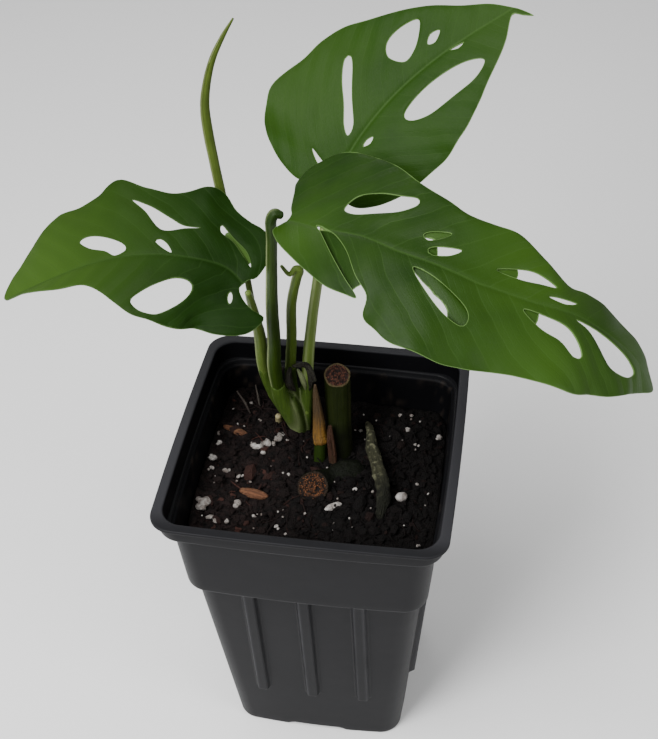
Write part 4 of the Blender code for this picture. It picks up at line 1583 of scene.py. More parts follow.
def scatter_grains(
    places: np.ndarray, halves: np.ndarray, draw: np.random.Generator, finer: bool, dent: float = 0.28
) -> Tuple[np.ndarray, List[Tuple[int, ...]], np.ndarray]:
    """Make rough grains, each turned and dented in its own way.

    Args:
        places: Middle of each grain.
        halves: Half sizes of each grain along its own axes.
        draw: Source of the random turns.
        finer: Whether each grain has many faces.
        dent: How deep the dents are, as a share of its size.

    Returns:
        The points, the faces, and which grain each point belongs to.
    """
    shape, triangles = ball(finer)
    count = len(places)
    bent = np.repeat(shape[None], count, 0)
    owner = np.repeat(np.arange(count), len(shape))
    seeds = bent.reshape(-1, 3) + owner[:, None] * 3.71
    uneven = 1 + dent * rough(seeds, 0.9, 11, 2 if finer else 1).reshape(count, -1)
    bent = bent * uneven[..., None] * halves[:, None, :]
    lean, turn = draw.uniform(-0.6, 0.6, count), draw.uniform(0, 2 * math.pi, count)
    c, s = np.cos(lean)[:, None], np.sin(lean)[:, None]
    x, y, z = bent[..., 0], bent[..., 1] * c - bent[..., 2] * s, bent[..., 1] * s + bent[..., 2] * c
    c, s = np.cos(turn)[:, None], np.sin(turn)[:, None]
    turned = np.stack([x * c - y * s, x * s + y * c, z], 2) + places[:, None, :]
    faces = (triangles[None] + np.arange(count)[:, None, None] * len(shape)).reshape(-1, 3)
    return turned.reshape(-1, 3), [tuple(int(i) for i in face) for face in faces], owner


# Leaves


@dataclass
class LeafBlade:
    """A leaf blade: a midrib in space, a fold either side of it and ripples along its edges.

    Flat places on it are (along, across): millimetres along the midrib from its base,
    and millimetres to its right (above zero) or left (below zero).
    """

    name: str
    slot: str
    finish: LeafFinish
    midrib: Sequence[Station]
    roll: Sequence[float]
    left_fold: Sequence[Flat]
    right_fold: Sequence[Flat]
    ripples: Sequence[Tuple[float, float, float, int]]
    outline: Sequence[Flat]
    holes: Sequence[Sequence[Flat]]
    # Painted light: places, reaches and amounts where the green is painted lighter, as lit.
    fresh: Sequence[Tuple[float, float, float, float]] = ()
    eased: Optional[Tuple[float, float, float]] = None
    rib_line: Sequence[Flat] = ((0.0, 0.0), (100.0, 0.0))
    thickness: float = 0.55
    grid: float = 1.9
    loop_step: float = 1.3
    edge_width: float = 0.55
    rib_depth: float = 1.1
    rib_half_width: float = 1.4
    rib_groove: float = 0.3
    quilting: float = 0.16
    fold_reach: float = 35.0
    ease_rounds: int = 160
    rib_rows: Tuple[float, ...] = (-2.6, -1.7, -0.95, -0.4, 0.0, 0.4, 0.95, 1.7, 2.6)
    shares: np.ndarray = field(init=False)
    lengths: np.ndarray = field(init=False)
    length: float = field(init=False)

    def __post_init__(self) -> None:
        """Measure the midrib."""
        self.shares = np.linspace(0, 1, 241)
        line = through(self.midrib, self.shares)
        steps = np.linalg.norm(np.diff(line, axis=0), axis=1)
        self.lengths = np.concatenate([[0.0], np.cumsum(steps)])
        self.length = float(self.lengths[-1])

    def place(self, along: np.ndarray, across: np.ndarray) -> np.ndarray:
        """Points in space of flat places on the blade's middle surface.

        Args:
            along: Millimetres along the midrib.
            across: Millimetres to its right.

        Returns:
            One point in each row.
        """
        held = np.clip(along, 0, self.length)
        share = np.interp(held, self.lengths, self.shares)
        later, earlier = np.minimum(share + 0.01, 1), np.maximum(share - 0.01, 0)
        ahead = unit(through(self.midrib, later) - through(self.midrib, earlier))
        centre = through(self.midrib, share) + ahead * (along - held)[:, None]
        level = unit(np.cross(ahead, [0.0, 0.0, 1.0]))
        above = np.cross(level, ahead)
        part = np.clip(along / self.length, 0, 1)
        tilt = np.radians(through(self.roll, part))
        right = level * np.cos(tilt) + above * np.sin(tilt)
        up = above * np.cos(tilt) - level * np.sin(tilt)
        side = np.where(across >= 0, 1.0, -1.0)
        fold = np.where((side > 0)[:, None], through(self.right_fold, part), through(self.left_fold, part))
        start = np.radians(fold[:, 0])
        bend = np.radians(fold[:, 1] - fold[:, 0]) / self.fold_reach
        bend = np.where(np.abs(bend) < 1e-6, 1e-6, bend)
        width = np.abs(across)
        out = (np.sin(start + bend * width) - np.sin(start)) / bend
        lift = (np.cos(start) - np.cos(start + bend * width)) / bend
        for height, reach, middle, ripple_side in self.ripples:
            near = (side == ripple_side) & (np.abs(along - middle) < reach)
            wave = np.cos(math.pi / 2 * (along - middle) / reach) ** 2
            lift = lift + np.where(near, height * wave * (width / self.fold_reach) ** 2, 0.0)
        return centre + right * (side * out)[:, None] + up * lift[:, None]

    def normal(self, along: np.ndarray, across: np.ndarray) -> np.ndarray:
        """Upward directions of the middle surface.

        Args:
            along: Millimetres along the midrib.
            across: Millimetres to its right.

        Returns:
            One direction in each row.
        """
        small = 0.3
        run = self.place(along + small, across) - self.place(along - small, across)
        reach = self.place(along, across + small) - self.place(along, across - small)
        return unit(np.cross(reach, run))

    def rib_place(self, along: np.ndarray) -> np.ndarray:
        """How far the midrib lies to the right of the blade's middle line."""
        return np.interp(along, *zip(*self.rib_line))

    def vein_row(self, along: np.ndarray, beside: np.ndarray) -> np.ndarray:
        """Count the side veins up to each place, with a whole number on a vein.

        Args:
            along: Millimetres along the midrib.
            beside: Millimetres to the right of the midrib itself.

        Returns:
            The count.
        """
        width = np.abs(beside)
        bent = width * self.finish.sweep + width**2 * self.finish.curl
        return (along - bent) / self.finish.spacing + np.where(beside > 0, 0.46, 0.0)

    def flat_points(self, loops: Sequence[np.ndarray]) -> np.ndarray:
        """Spread points inside the loops: beside every edge, in rows along the midrib, and in a grid.

        Args:
            loops: The outline, then the holes.

        Returns:
            The flat points.
        """
        run = np.arange(0.8, self.length, 1.5)
        rows = [np.column_stack([run, self.rib_place(run) + beside]) for beside in self.rib_rows]
        grid = []
        for i, across in enumerate(np.arange(-46.0, 46.0, self.grid * 0.87)):
            run = np.arange(-16.0, self.length + 4.0, self.grid) + (self.grid / 2 if i % 2 else 0)
            run = run[np.abs(across - self.rib_place(run)) > 3.3]
            grid.append(np.column_stack([run, np.full(len(run), across)]))
        inner = []
        for number, loop in enumerate(loops):
            heading = unit(np.roll(loop, -1, 0) - np.roll(loop, 1, 0))
            area = np.sum(loop[:, 0] * np.roll(loop[:, 1], -1) - np.roll(loop[:, 0], -1) * loop[:, 1])
            turn = 1.0 if (area > 0) == (number == 0) else -1.0
            inner.append(loop + np.stack([-heading[:, 1], heading[:, 0]], 1) * turn * self.edge_width)
        beside = self.keep(np.vstack(inner), loops, self.edge_width * 0.85)
        ribs = self.keep(np.vstack(rows), loops, self.edge_width * 1.3)
        rest = self.keep(np.vstack(grid), loops, self.edge_width + 0.9)
        return np.vstack([beside, ribs, rest])

    @staticmethod
    def keep(points: np.ndarray, loops: Sequence[np.ndarray], clear: float) -> np.ndarray:
        """Drop flat points that are outside the blade or close to an edge.

        Args:
            points: The flat points.
            loops: The outline, then the holes.
            clear: The least distance from an edge.

        Returns:
            The points that stay.
        """
        good = inside(points, loops[0])
        for hole in loops[1:]:
            good &= ~inside(points, hole)
        points = points[good]
        near = np.min([distance(points, loop) for loop in loops], axis=0)
        return points[near > clear]

    def relax(
        self, spot: np.ndarray, triangles: np.ndarray, flat: np.ndarray, margin: np.ndarray
    ) -> Tuple[np.ndarray, np.ndarray]:
        """Even out the blade round one place, where the bent midrib crowds it.

        Args:
            spot: Points in space.
            triangles: Point numbers of each triangle.
            flat: Flat places of the points.
            margin: 1 for points on an edge, else 0.

        Returns:
            The new points and their upward directions.
        """
        sides = triangle_sides(triangles)
        ends = np.unique(np.vstack([sides, sides[:, ::-1]]), axis=0)
        both = (margin[ends[:, 0]] > 0) & (margin[ends[:, 1]] > 0)
        ends = ends[both | (margin[ends[:, 0]] == 0)]
        links = np.maximum(np.bincount(ends[:, 0], minlength=len(spot)), 1)[:, None]
        centre_along, centre_across, reach = self.eased
        away = np.hypot(flat[:, 0] - centre_along, flat[:, 1] - centre_across) / reach
        share = (0.6 * (1 - ease(away)))[:, None]
        for _ in range(self.ease_rounds):
            around = np.stack([np.bincount(ends[:, 0], spot[ends[:, 1], k], len(spot)) for k in range(3)], 1)
            spot = spot + (around / links - spot) * share
        corners = spot[triangles]
        normal = np.cross(corners[:, 2] - corners[:, 0], corners[:, 1] - corners[:, 0])
        up = np.zeros_like(spot)
        for k in range(3):
            np.add.at(up, triangles[:, k], normal)
        return spot, unit(up)

    def levels(self, flat: np.ndarray, margin: np.ndarray) -> Tuple[np.ndarray, np.ndarray]:
        """Shape the faces: cushions between the veins, a grooved midrib and thin edges.

        Args:
            flat: Places along the blade and beside its midrib.
            margin: 1 for points on an edge, else 0.

        Returns:
            Heights of the upper and the lower face above the middle surface.
        """
        along, beside = flat.T
        row = self.vein_row(along, beside)
        width = np.abs(beside)
        fade = ease((width - 1.5) / 5.0) * (1 - margin) * ease((self.length - along) / 14.0)
        cushion = (np.sin(np.abs(row - np.round(row)) * math.pi) - 0.6) * self.quilting * 2 * fade
        across = beside + self.rib_place(along)
        puckers = 0.35 * rough(np.column_stack([along, across, np.zeros(len(along))]), 13.0, 5, 2) * fade
        groove = -self.rib_groove * np.exp(-((beside / 0.9) ** 2)) * ease((self.length - along) / 40.0)
        middle = cushion + puckers
        thin = self.thickness * (1 - 0.35 * margin)
        rib = np.where(width < self.rib_half_width, np.cos(width / self.rib_half_width * math.pi / 2), 0.0)
        rib *= self.rib_depth * np.clip(1 - np.maximum(along, 0) / self.length, 0.15, 1.0)
        return middle + groove + thin / 2, middle - thin / 2 - rib

    def freshness(self, flat: np.ndarray) -> np.ndarray:
        """How much painted light falls on flat places, from 0 to 1.

        Args:
            flat: Places on the flat blade.

        Returns:
            One value for each place.
        """
        lit = np.zeros(len(flat))
        for along, across, reach, amount in self.fresh:
            away = np.hypot(flat[:, 0] - along, flat[:, 1] - across) / reach
            lit = np.maximum(lit, amount * (1 - ease(away)))
        return lit

    def build(self) -> bpy.types.Object:
        """Make the blade as one closed body with the same triangles on both faces.

        Returns:
            The piece.
        """
        loops = [smooth_loop(self.outline, self.loop_step)]
        loops += [smooth_loop(hole, self.loop_step * 0.8) for hole in self.holes]
        flat = np.vstack(loops + [self.flat_points(loops)])
        triangles = fill(flat, loops)
        used = np.unique(triangles)
        order = np.full(len(flat), -1)
        order[used] = np.arange(len(used))
        triangles, flat = order[triangles], flat[used]
        margin = (used < sum(len(loop) for loop in loops)).astype(float)
        spot, up = self.place(*flat.T), self.normal(*flat.T)
        if self.eased is not None:
            spot, up = self.relax(spot, triangles, flat, margin)
        beside = np.column_stack([flat[:, 0], flat[:, 1] - self.rib_place(flat[:, 0])])
        body = np.vstack([spot + up * level[:, None] for level in self.levels(beside, margin)])
        marks = leaf_marks(beside, margin, self.freshness(flat))
        faces = slab_faces(triangles, len(flat))
        return add_piece(self.name, body, faces, [self.finish.make()], marks, crease=70.0)


@dataclass
class CurledRim:
    """Parts of a blade that curl down inside its holes.

    Each patch has its outline and its hinge, both in the blade's flat places, how far
    its free edge hangs below the blade, and how much painted light its green has.
    """

    name: str
    blade: LeafBlade
    patches: Sequence[Tuple[Sequence[Flat], Tuple[Flat, Flat], float, float]]
    step: float = 0.9
    start_below: float = 0.48
    half_thickness: float = 0.16

    def patch(
        self, outline: Sequence[Flat], hinge: Tuple[Flat, Flat], drop: float, fresh: float
    ) -> Tuple[np.ndarray, Faces, Marks]:
        """Make one patch.

        Args:
            outline: Its outline in flat places.
            hinge: The line that it hangs from.
            drop: How far its free edge hangs down.
            fresh: How much painted light its green has.

        Returns:
            Points, faces and marks.
        """
        loop = smooth_loop(outline, self.step)
        reach = [np.arange(low, high, self.step) for low, high in zip(loop.min(0), loop.max(0))]
        grid = np.stack(np.meshgrid(*reach), -1).reshape(-1, 2)
        grid = grid[inside(grid, loop)]
        flat = np.vstack([loop, grid[distance(grid, loop) > self.step * 0.5]])
        run = np.subtract(hinge[1], hinge[0])
        x, y = (flat - hinge[0]).T
        away = np.abs(x * run[1] - y * run[0]) / np.hypot(*run)
        share = away / max(float(away.max()), 1e-6)
        up = self.blade.normal(*flat.T)
        middle = self.blade.place(*flat.T) - up * (self.start_below + drop * share**1.3)[:, None]
        margin = (np.arange(len(flat)) < len(loop)).astype(float)
        points = np.vstack([middle + up * self.half_thickness, middle - up * self.half_thickness])
        marks = leaf_marks(flat, margin, np.full(len(flat), fresh))
        return points, slab_faces(fill(flat, [loop]), len(flat)), marks

    def build(self) -> bpy.types.Object:
        """Make all the patches as one piece.

        Returns:
            The piece.
        """
        points, faces, marks = [], [], []
        for patch in self.patches:
            more, more_faces, more_marks = self.patch(*patch)
            total = sum(len(rows) for rows in points)
            faces += [tuple(i + total for i in face) for face in more_faces]
            points.append(more)
            marks.append(more_marks)
        joined = {key: np.concatenate([m[key] for m in marks]) for key in marks[0]}
        made = add_piece(self.name, np.vstack(points), faces, [self.blade.finish.make()], joined, crease=60.0)
        return settle(made)


# Stalks, roots and sheaths: bodies swept along a route


@dataclass
class Sweep:
    """A body swept along a smooth route, with its own section and ends."""

    name: str
    nodes: Tuple[str, ...]
    slot: str
    route: Sequence[Station]
    radii: Sequence[float]
    finish: Finish
    face: Optional[Colour] = None
    face_finish: Optional[Finish] = None
    sides: int = 28
    ring_gap: float = 0.8
    unevenness: float = 0.03
    uneven_size: float = 3.0
    stain_below: float = 0.0
    stain_above: float = 0.0
    soiled_from: float = 1.0
    # Turns of the pale ridges; on the petioles' lit left sides they are partly a painted highlight.
    ridge_turns: Tuple[float, ...] = ()
    groove_turn: Optional[float] = None
    groove_depth: float = 0.16
    twist: float = 0.0
    end_angles: Tuple[float, ...] = (0.35, 0.7, 1.0, 1.25)
    face_shares: Tuple[float, ...] = (
        0.985, 0.95, 0.9, 0.84, 0.76, 0.68, 0.6, 0.52, 0.44, 0.36, 0.28, 0.2, 0.12, 0.05)

    def frames(self, steps: int) -> Tuple[np.ndarray, np.ndarray, np.ndarray, np.ndarray]:
        """Follow the route.

        Args:
            steps: How many stretches it is cut into.

        Returns:
            Centres, side directions, across directions and radii.
        """
        share = np.linspace(0, 1, steps + 1)
        centre = through(self.route, share)
        later, earlier = np.minimum(share + 0.01, 1), np.maximum(share - 0.01, 0)
        ahead = unit(through(self.route, later) - through(self.route, earlier))
        side = unit(np.cross(ahead[0], [0.0, 1.0, 0.13]))
        sides = []
        for direction in ahead:
            side = unit(side - direction * float(side @ direction))
            sides.append(side)
        side_rows = np.array(sides)
        return centre, side_rows, np.cross(ahead, side_rows), through(self.radii, share)[:, 0]

    def offsets(self, side: np.ndarray, across: np.ndarray) -> Tuple[np.ndarray, np.ndarray]:
        """Spread directions round the route.

        Args:
            side: Side direction of each ring.
            across: Across direction of each ring.

        Returns:
            The turns round a ring, and the direction at each turn of each ring.
        """
        turn = 2 * math.pi * np.arange(self.sides) / self.sides
        rows = side[:, None] * np.cos(turn)[None, :, None] + across[:, None] * np.sin(turn)[None, :, None]
        return turn, rows

    def off_turn(self, share: np.ndarray, turn: np.ndarray, degrees: float) -> np.ndarray:
        """Turn away from a line that runs along the body and twists with it."""
        return np.angle(np.exp(1j * (turn - math.radians(degrees) - self.twist * share)))

    def section(self, share: np.ndarray, turn: np.ndarray) -> np.ndarray:
        """Shape the section.

        Args:
            share: Places along the route from 0 to 1.
            turn: Turns round it.

        Returns:
            Radius there as a share of the usual one.
        """
        shape = np.ones(np.broadcast(share, turn).shape)
        if self.groove_turn is not None:
            off = self.off_turn(share, turn, self.groove_turn)
            fade = ease(share * 6) * ease((1 - share) * 8)
            shape = shape - self.groove_depth * fade * np.exp(-((off / 0.42) ** 2))
            for edge in (-0.75, 0.75):
                shape = shape + self.groove_depth * 0.45 * fade * np.exp(-(((off - edge) / 0.2) ** 2))
        return shape

    def ridge(self, share: np.ndarray, turn: np.ndarray) -> np.ndarray:
        """Say how pale the body is along its ridges: pale margins, with a painted highlight where they face
        the light.

        Args:
            share: Places along the route from 0 to 1.
            turn: Turns round it.

        Returns:
            Paleness there from 0 to 1.
        """
        mark = np.zeros(np.broadcast(share, turn).shape)
        for ridge_turn in self.ridge_turns:
            mark = np.maximum(mark, np.exp(-((self.off_turn(share, turn, ridge_turn) / 0.2) ** 2)))
        return mark * 0.8

    def face_relief(self, share: np.ndarray, turn: np.ndarray) -> np.ndarray:
        """Shape a cut face.

        Args:
            share: Places from its middle, 0, to its edge, 1.
            turn: Turns round it.

        Returns:
            Height there in millimetres.
        """
        spots = np.stack([share * np.cos(turn) * 5, share * np.sin(turn) * 5, np.zeros_like(share)], -1)
        lumps = rough(spots.reshape(-1, 3), 1.1, 21, 2).reshape(share.shape)
        rings = np.sin(share * 19.0 + 1.5 * np.sin(turn * 2))
        return (0.42 * lumps + 0.14 * rings) * ease((1 - share) * 6)

    def round_end(
        self, row: np.ndarray, centre: np.ndarray, ahead: np.ndarray, radius: float
    ) -> List[np.ndarray]:
        """Round off an end.

        Args:
            row: The last ring and its notes.
            centre: Its middle.
            ahead: The way out.
            radius: Its radius.

        Returns:
            More rings with notes, toward the tip.
        """
        rows = []
        for angle in self.end_angles:
            spot = centre + (row[:, :3] - centre) * math.cos(angle) + ahead * math.sin(angle) * radius * 0.7
            rows.append(np.column_stack([spot, row[:, 3:]]))
        return rows

    def cut_end(
        self, rows: np.ndarray, centre: np.ndarray, ahead: np.ndarray, radius: float
    ) -> List[np.ndarray]:
        """Cut the end off along a slanting face.

        Args:
            rows: All rings and their notes, which are slid back to the face.
            centre: Middle of the last ring.
            ahead: The way out.
            radius: Its radius.

        Returns:
            Rings with notes across the face, toward its middle.
        """
        normal = unit(np.array(self.face))
        slide = ((rows[..., :3] - centre) @ normal) / float(ahead @ normal)
        slide[:-1] = np.maximum(slide[:-1], 0.0)
        rows[..., :3] -= ahead * slide[..., None]
        edge = rows[-1, :, :3]
        middle = edge.mean(0)
        turn = 2 * math.pi * np.arange(self.sides) / self.sides
        length = np.full(self.sides, rows[-1, 0, 3])
        face = []
        for s in self.face_shares:
            lift = self.face_relief(np.full(self.sides, s), turn) + (0.12 if s < 0.97 else 0.0)
            spot = middle + (edge - middle) * s + normal * lift[:, None]
            notes = [length, np.cos(turn) * s * radius, np.sin(turn) * s * radius, np.zeros(self.sides)]
            face.append(np.column_stack([spot, *notes]))
        return face

    def darkening(self, height: np.ndarray, run: np.ndarray) -> np.ndarray:
        """Say where the body is darkened: soil staining low down, painted shade at the foot of the cut stem,
        and darker toward the top on some.

        Args:
            height: Height of each point.
            run: Its place along the route from 0 to 1.

        Returns:
            The darkening from 0 to 1.
        """
        stain = ease((self.stain_below - height) / 7.0) if self.stain_below else np.zeros(len(height))
        if self.stain_above:
            stain = np.maximum(stain, 0.85 * ease((height - self.stain_above) / 13.0))
        if self.soiled_from < 1.0:
            stain = np.maximum(stain, 0.9 * ease((run - self.soiled_from) / 0.2))
        return stain

    def build(self) -> bpy.types.Object:
        """Make the body: rings along the route, then its two ends.

        Each row of a ring is a point in space, its place along and across the body, and
        how pale it is.

        Returns:
            The piece.
        """
        line = through(self.route, np.linspace(0, 1, 80))
        length = float(np.linalg.norm(np.diff(line, axis=0), axis=1).sum())
        steps = max(8, int(length / self.ring_gap))
        centre, side, across, radius = self.frames(steps)
        turn, offset = self.offsets(side, across)
        share = np.linspace(0, 1, steps + 1)[:, None]
        size = radius[:, None] * self.section(share, turn[None])
        points = centre[:, None] + offset * size[..., None]
        bumps = rough(points.reshape(-1, 3), self.uneven_size, 31, 3).reshape(size.shape)
        points = points + offset * (bumps * self.unevenness * radius[:, None])[..., None]
        notes = [np.repeat(share * length, self.sides, 1), size * np.cos(turn), size * np.sin(turn),
                 self.ridge(share, turn[None])]
        rows = np.concatenate([points, np.stack(notes, -1)], -1)
        finish_end = self.round_end if self.face is None else self.cut_end
        last_row = rows[-1] if self.face is None else rows
        last = finish_end(last_row, centre[-1], unit(centre[-1] - centre[-2]), float(radius[-1]))
        first = self.round_end(rows[0], centre[0], unit(centre[0] - centre[1]), float(radius[0]))
        rings = [*first[::-1], *rows, *last]
        body = np.vstack(rings)
        faces = tube_faces(len(rings), self.sides)
        slots = np.zeros(len(faces), np.int32)
        if self.face is not None:
            slots[-2 - len(last) * self.sides :] = 1
            slots[-2] = 0
        marks = {
            "place": body[:, 3:6],
            "ridge": body[:, 6],
            "stain": self.darkening(body[:, 2], body[:, 3] / length),
        }
        surfaces = [finish.make() for finish in (self.finish, self.face_finish) if finish is not None]
        made = add_piece(self.name, body[:, :3], faces, surfaces, marks, slots, crease=60.0)
        return settle(made, self.nodes)


@dataclass
class RolledLeaf(Sweep):
    """A new leaf still rolled up: a spiral with one overlapping edge, on a slim stalk."""

    roll_from: float = 0.4
    edge_turn: float = 35.0
    overlap: float = 0.3

    def step_share(self, share: np.ndarray, turn: np.ndarray) -> Tuple[np.ndarray, np.ndarray]:
        """Turn away from the overlapping edge, and how far the blade has begun."""
        off = np.mod(turn - math.radians(self.edge_turn) - self.twist * share, 2 * math.pi)
        return off, ease((share - self.roll_from) / 0.12)

    def section(self, share: np.ndarray, turn: np.ndarray) -> np.ndarray:
        """Grow the radius round the roll and drop it past the edge.

        Args:
            share: Places along the route from 0 to 1.
            turn: Turns round it.

        Returns:
            Radius there as a share of the usual one.
        """
        off, begun = self.step_share(share, turn)
        spiral = off / (2 * math.pi) - 0.5
        return 1 + self.overlap * begun * spiral - 0.12 * begun * np.exp(-((off / 0.3) ** 2))

    def ridge(self, share: np.ndarray, turn: np.ndarray) -> np.ndarray:
        """A pale line along the overlapping edge."""
        off, begun = self.step_share(share, turn)
        return np.exp(-(((2 * math.pi - off) / 0.32) ** 2)) * (0.35 + 0.65 * begun)


@dataclass
class Sheath(Sweep):
    """A drying sheath: a thin leaf wrapped into a tapering tube, with creases."""

    creases: int = 7
    crease_depth: float = 0.1

    def section(self, share: np.ndarray, turn: np.ndarray) -> np.ndarray:
        """Pleat the section and lift one flap of it.

        Args:
            share: Places along the route from 0 to 1.
            turn: Turns round it.

        Returns:
            Radius there as a share of the usual one.
        """
        pleats = np.cos(turn * self.creases + 2.0 * share) * self.crease_depth
        flap = 0.14 * np.exp(-((np.angle(np.exp(1j * (turn - 0.9))) / 0.25) ** 2)) * (1 - share)
        return 1 + pleats * (0.5 + 0.5 * np.sin(share * 9.0 + turn)) + flap


@dataclass
class AgedRoot(Sweep):
    """An old aerial root: knobbly, with scars of side roots."""

    knobs: float = 0.3

    def section(self, share: np.ndarray, turn: np.ndarray) -> np.ndarray:
        """Add knobs and flats."""
        knob = np.sin(share * 31.0 + 2.2 * np.sin(turn)) * np.cos(turn * 2 + share * 11.0)
        return 1 + self.knobs * 0.5 * knob


@dataclass
class CutStem(Sweep):
    """A stem cut off above the mix, fluted a little, with leaf scars round it."""

    scars: Tuple[float, ...] = ()

    def section(self, share: np.ndarray, turn: np.ndarray) -> np.ndarray:
        """Raise a low ring at each scar and flute the stem.

        Args:
            share: Places along the route from 0 to 1.
            turn: Turns round it.

        Returns:
            Radius there as a share of the usual one.
        """
        shape = 1 + 0.02 * np.cos(turn * 5 + 0.7)
        for scar in self.scars:
            line = share - scar - 0.012 * np.cos(turn)
            shape = shape + 0.05 * np.exp(-((line / 0.018) ** 2))
            shape = shape - 0.03 * np.exp(-(((line - 0.03) / 0.02) ** 2))
        return shape


@dataclass
class Crown:
    """The crown: the sheathing feet of the leaf stalks, wrapped round one short stem."""

    name: str
    nodes: Tuple[str, ...]
    slot: str
    finish: Finish
    feet: Sequence[Tuple[Sequence[Station], Sequence[float]]]
    foot_steps: int = 26
    voxel: float = 0.42
    rounding: int = 5
    crease_width: float = 0.5
    stain_below: float = 121.0

    def add_feet(self) -> Tuple[bpy.types.Object, List[Tuple[np.ndarray, np.ndarray]]]:
        """Sweep each foot on its own.

        Returns:
            One object with all feet, and the centres and radii along each foot.
        """
        bodies, points, faces = [], [], []
        total = 0
        for route, radii in self.feet:
            foot = Sweep("foot", (), "", route, radii, self.finish, sides=20)
            centre, side, across, radius = foot.frames(self.foot_steps)
            rings = centre[:, None] + foot.offsets(side, across)[1] * radius[:, None, None]
            points.append(rings.reshape(-1, 3))
            faces += tube_faces(len(rings), foot.sides, total)
            total += len(points[-1])
            bodies.append((centre, radius))
        return add_piece("crown feet", np.vstack(points), faces, []), bodies

    def build(self) -> bpy.types.Object:
        """Merge the feet into one skin and mark its creases.

        Returns:
            The piece.
        """
        rude, bodies = self.add_feet()
        for kind, settings in (("REMESH", {"mode": "VOXEL", "voxel_size": self.voxel * MM}),
                               ("SMOOTH", {"iterations": self.rounding, "factor": 0.5})):
            step = rude.modifiers.new(kind.lower(), kind)
            for key, value in settings.items():
                setattr(step, key, value)
        ready = rude.evaluated_get(bpy.context.evaluated_depsgraph_get()).to_mesh()
        skin = np.array([tuple(v.co) for v in ready.vertices]) / MM
        faces = [tuple(p.vertices) for p in ready.polygons]
        bpy.data.objects.remove(rude)
        depth = np.array([(np.linalg.norm(skin[:, None] - centre[None], axis=2) - radius[None]).min(1)
                          for centre, radius in bodies])
        order = np.sort(depth, 0)
        crease = np.exp(-(((order[1] - order[0]) / self.crease_width) ** 2))
        turn = rough(skin, 5.0, 3, 1)
        marks = {
            "place": np.column_stack([skin[:, 2], skin[:, 0] + depth.argmin(0) * 7.0, skin[:, 1] + turn]),
            "ridge": np.clip(crease * 0.55, 0, 1),
            "stain": ease((self.stain_below - skin[:, 2]) / 8.0),
        }
        made = add_piece(self.name, skin, faces, [self.finish.make()], marks, crease=180.0)
        return settle(made, self.nodes)


# This plant's finishes and pieces

PLASTIC = PlasticFinish("satin black plastic", 0.44, 0.08)
# Painted shade: the inside of the pot is the same plastic, painted much darker.
SHADED_INSIDE_PLASTIC = PlasticFinish("inside of the pot", 0.5, 0.06, colour=(0.0022, 0.0022, 0.0027),
                               scuffed=(0.0036, 0.0036, 0.0044), rubbed_and_lit=(0.012, 0.012, 0.014))
SOIL = SoilFinish("damp potting mix", 0.85, 0.15)
PERLITE = PerliteFinish("chalky perlite", 0.95, 0.2)
BARK = RindFinish("red bark", 0.8, 0.2, light=(0.16, 0.066, 0.032), dark=(0.04, 0.018, 0.01),
                  blotch=(0.22, 0.12, 0.06))
RIGHT_GREEN = LeafFinish("right leaf green", 0.46, 0.1, light=(0.0135, 0.037, 0.0025),
                         dark=(0.006, 0.021, 0.0013),
                         fresh=(0.027, 0.066, 0.006), spacing=11.0, sweep=0.85, curl=0.008)
# Painted shade: this leaf's own greens are very dark for its shaded base; its lighter painted green marks the
# lit tip.
LEFT_GREEN = LeafFinish("left leaf green", 0.46, 0.035, light=(0.0075, 0.0235, 0.0024),
                        dark=(0.0036, 0.013, 0.001),
                        fresh=(0.037, 0.078, 0.011), vein=(0.022, 0.05, 0.01), edge=(0.05, 0.09, 0.025),
                        spacing=9.5, sweep=0.75, curl=0.01)
BACK_GREEN = LeafFinish("back leaf green", 0.5, 0.075, light=(0.0145, 0.042, 0.0025),
                        dark=(0.009, 0.03, 0.0015),
                        fresh=(0.026, 0.062, 0.006), spacing=10.0, sweep=0.7, curl=0.012, quilt=0.12,
                        vein_shows=0.08)
PETIOLE = StalkFinish("petiole green", 0.42, 0.2)
BACK_PETIOLE = StalkFinish("back petiole green", 0.42, 0.2, light=(0.17, 0.24, 0.05),
                           dark=(0.085, 0.14, 0.024))
CROWN_GREEN = StalkFinish("crown green", 0.44, 0.15, light=(0.065, 0.11, 0.017), dark=(0.027, 0.054, 0.008))
OLIVE = StalkFinish("rolled leaf olive", 0.46, 0.08, light=(0.074, 0.108, 0.014), dark=(0.033, 0.052, 0.008),
                    ridge=(0.15, 0.18, 0.07))
YOUNG_GREEN = StalkFinish("young stem green", 0.4, 0.1, light=(0.018, 0.034, 0.005),
                          dark=(0.007, 0.015, 0.002))
# Its staining colour is near black: painted shade at the foot of the cut stem.
OLD_GREEN = StalkFinish("old stem green", 0.45, 0.1, light=(0.013, 0.018, 0.003), dark=(0.005, 0.008, 0.0015),
                        ridge=(0.032, 0.036, 0.012), stain=(0.003, 0.0035, 0.0015), relief=0.4)
VINE_RIND = RindFinish("old vine rind", 0.55, 0.14, light=(0.0042, 0.0056, 0.0019),
                       dark=(0.0016, 0.0021, 0.0009),
                       blotch=(0.0058, 0.0085, 0.003))
OCHRE = RindFinish("ochre sheath", 0.5, 0.2, light=(0.24, 0.118, 0.016), dark=(0.03, 0.021, 0.013),
                   blotch=(0.09, 0.055, 0.012), blotch_share=0.3, relief=0.3)
PAPER = RindFinish("brown paper sheath", 0.7, 0.12, light=(0.06, 0.026, 0.015), dark=(0.01, 0.006, 0.004),
                   blotch=(0.04, 0.026, 0.012))
DARK_SHEATH = RindFinish("dark sheath", 0.6, 0.2, light=(0.016, 0.014, 0.009), dark=(0.004, 0.0034, 0.003),
                         blotch=(0.035, 0.035, 0.02), blotch_share=0.3)
PALE_LINING = RindFinish("pale sheath lining", 0.5, 0.3, light=(0.13, 0.15, 0.07), dark=(0.045, 0.06, 0.02),
                         blotch=(0.03, 0.035, 0.015), blotch_share=0.3, relief=0.2)
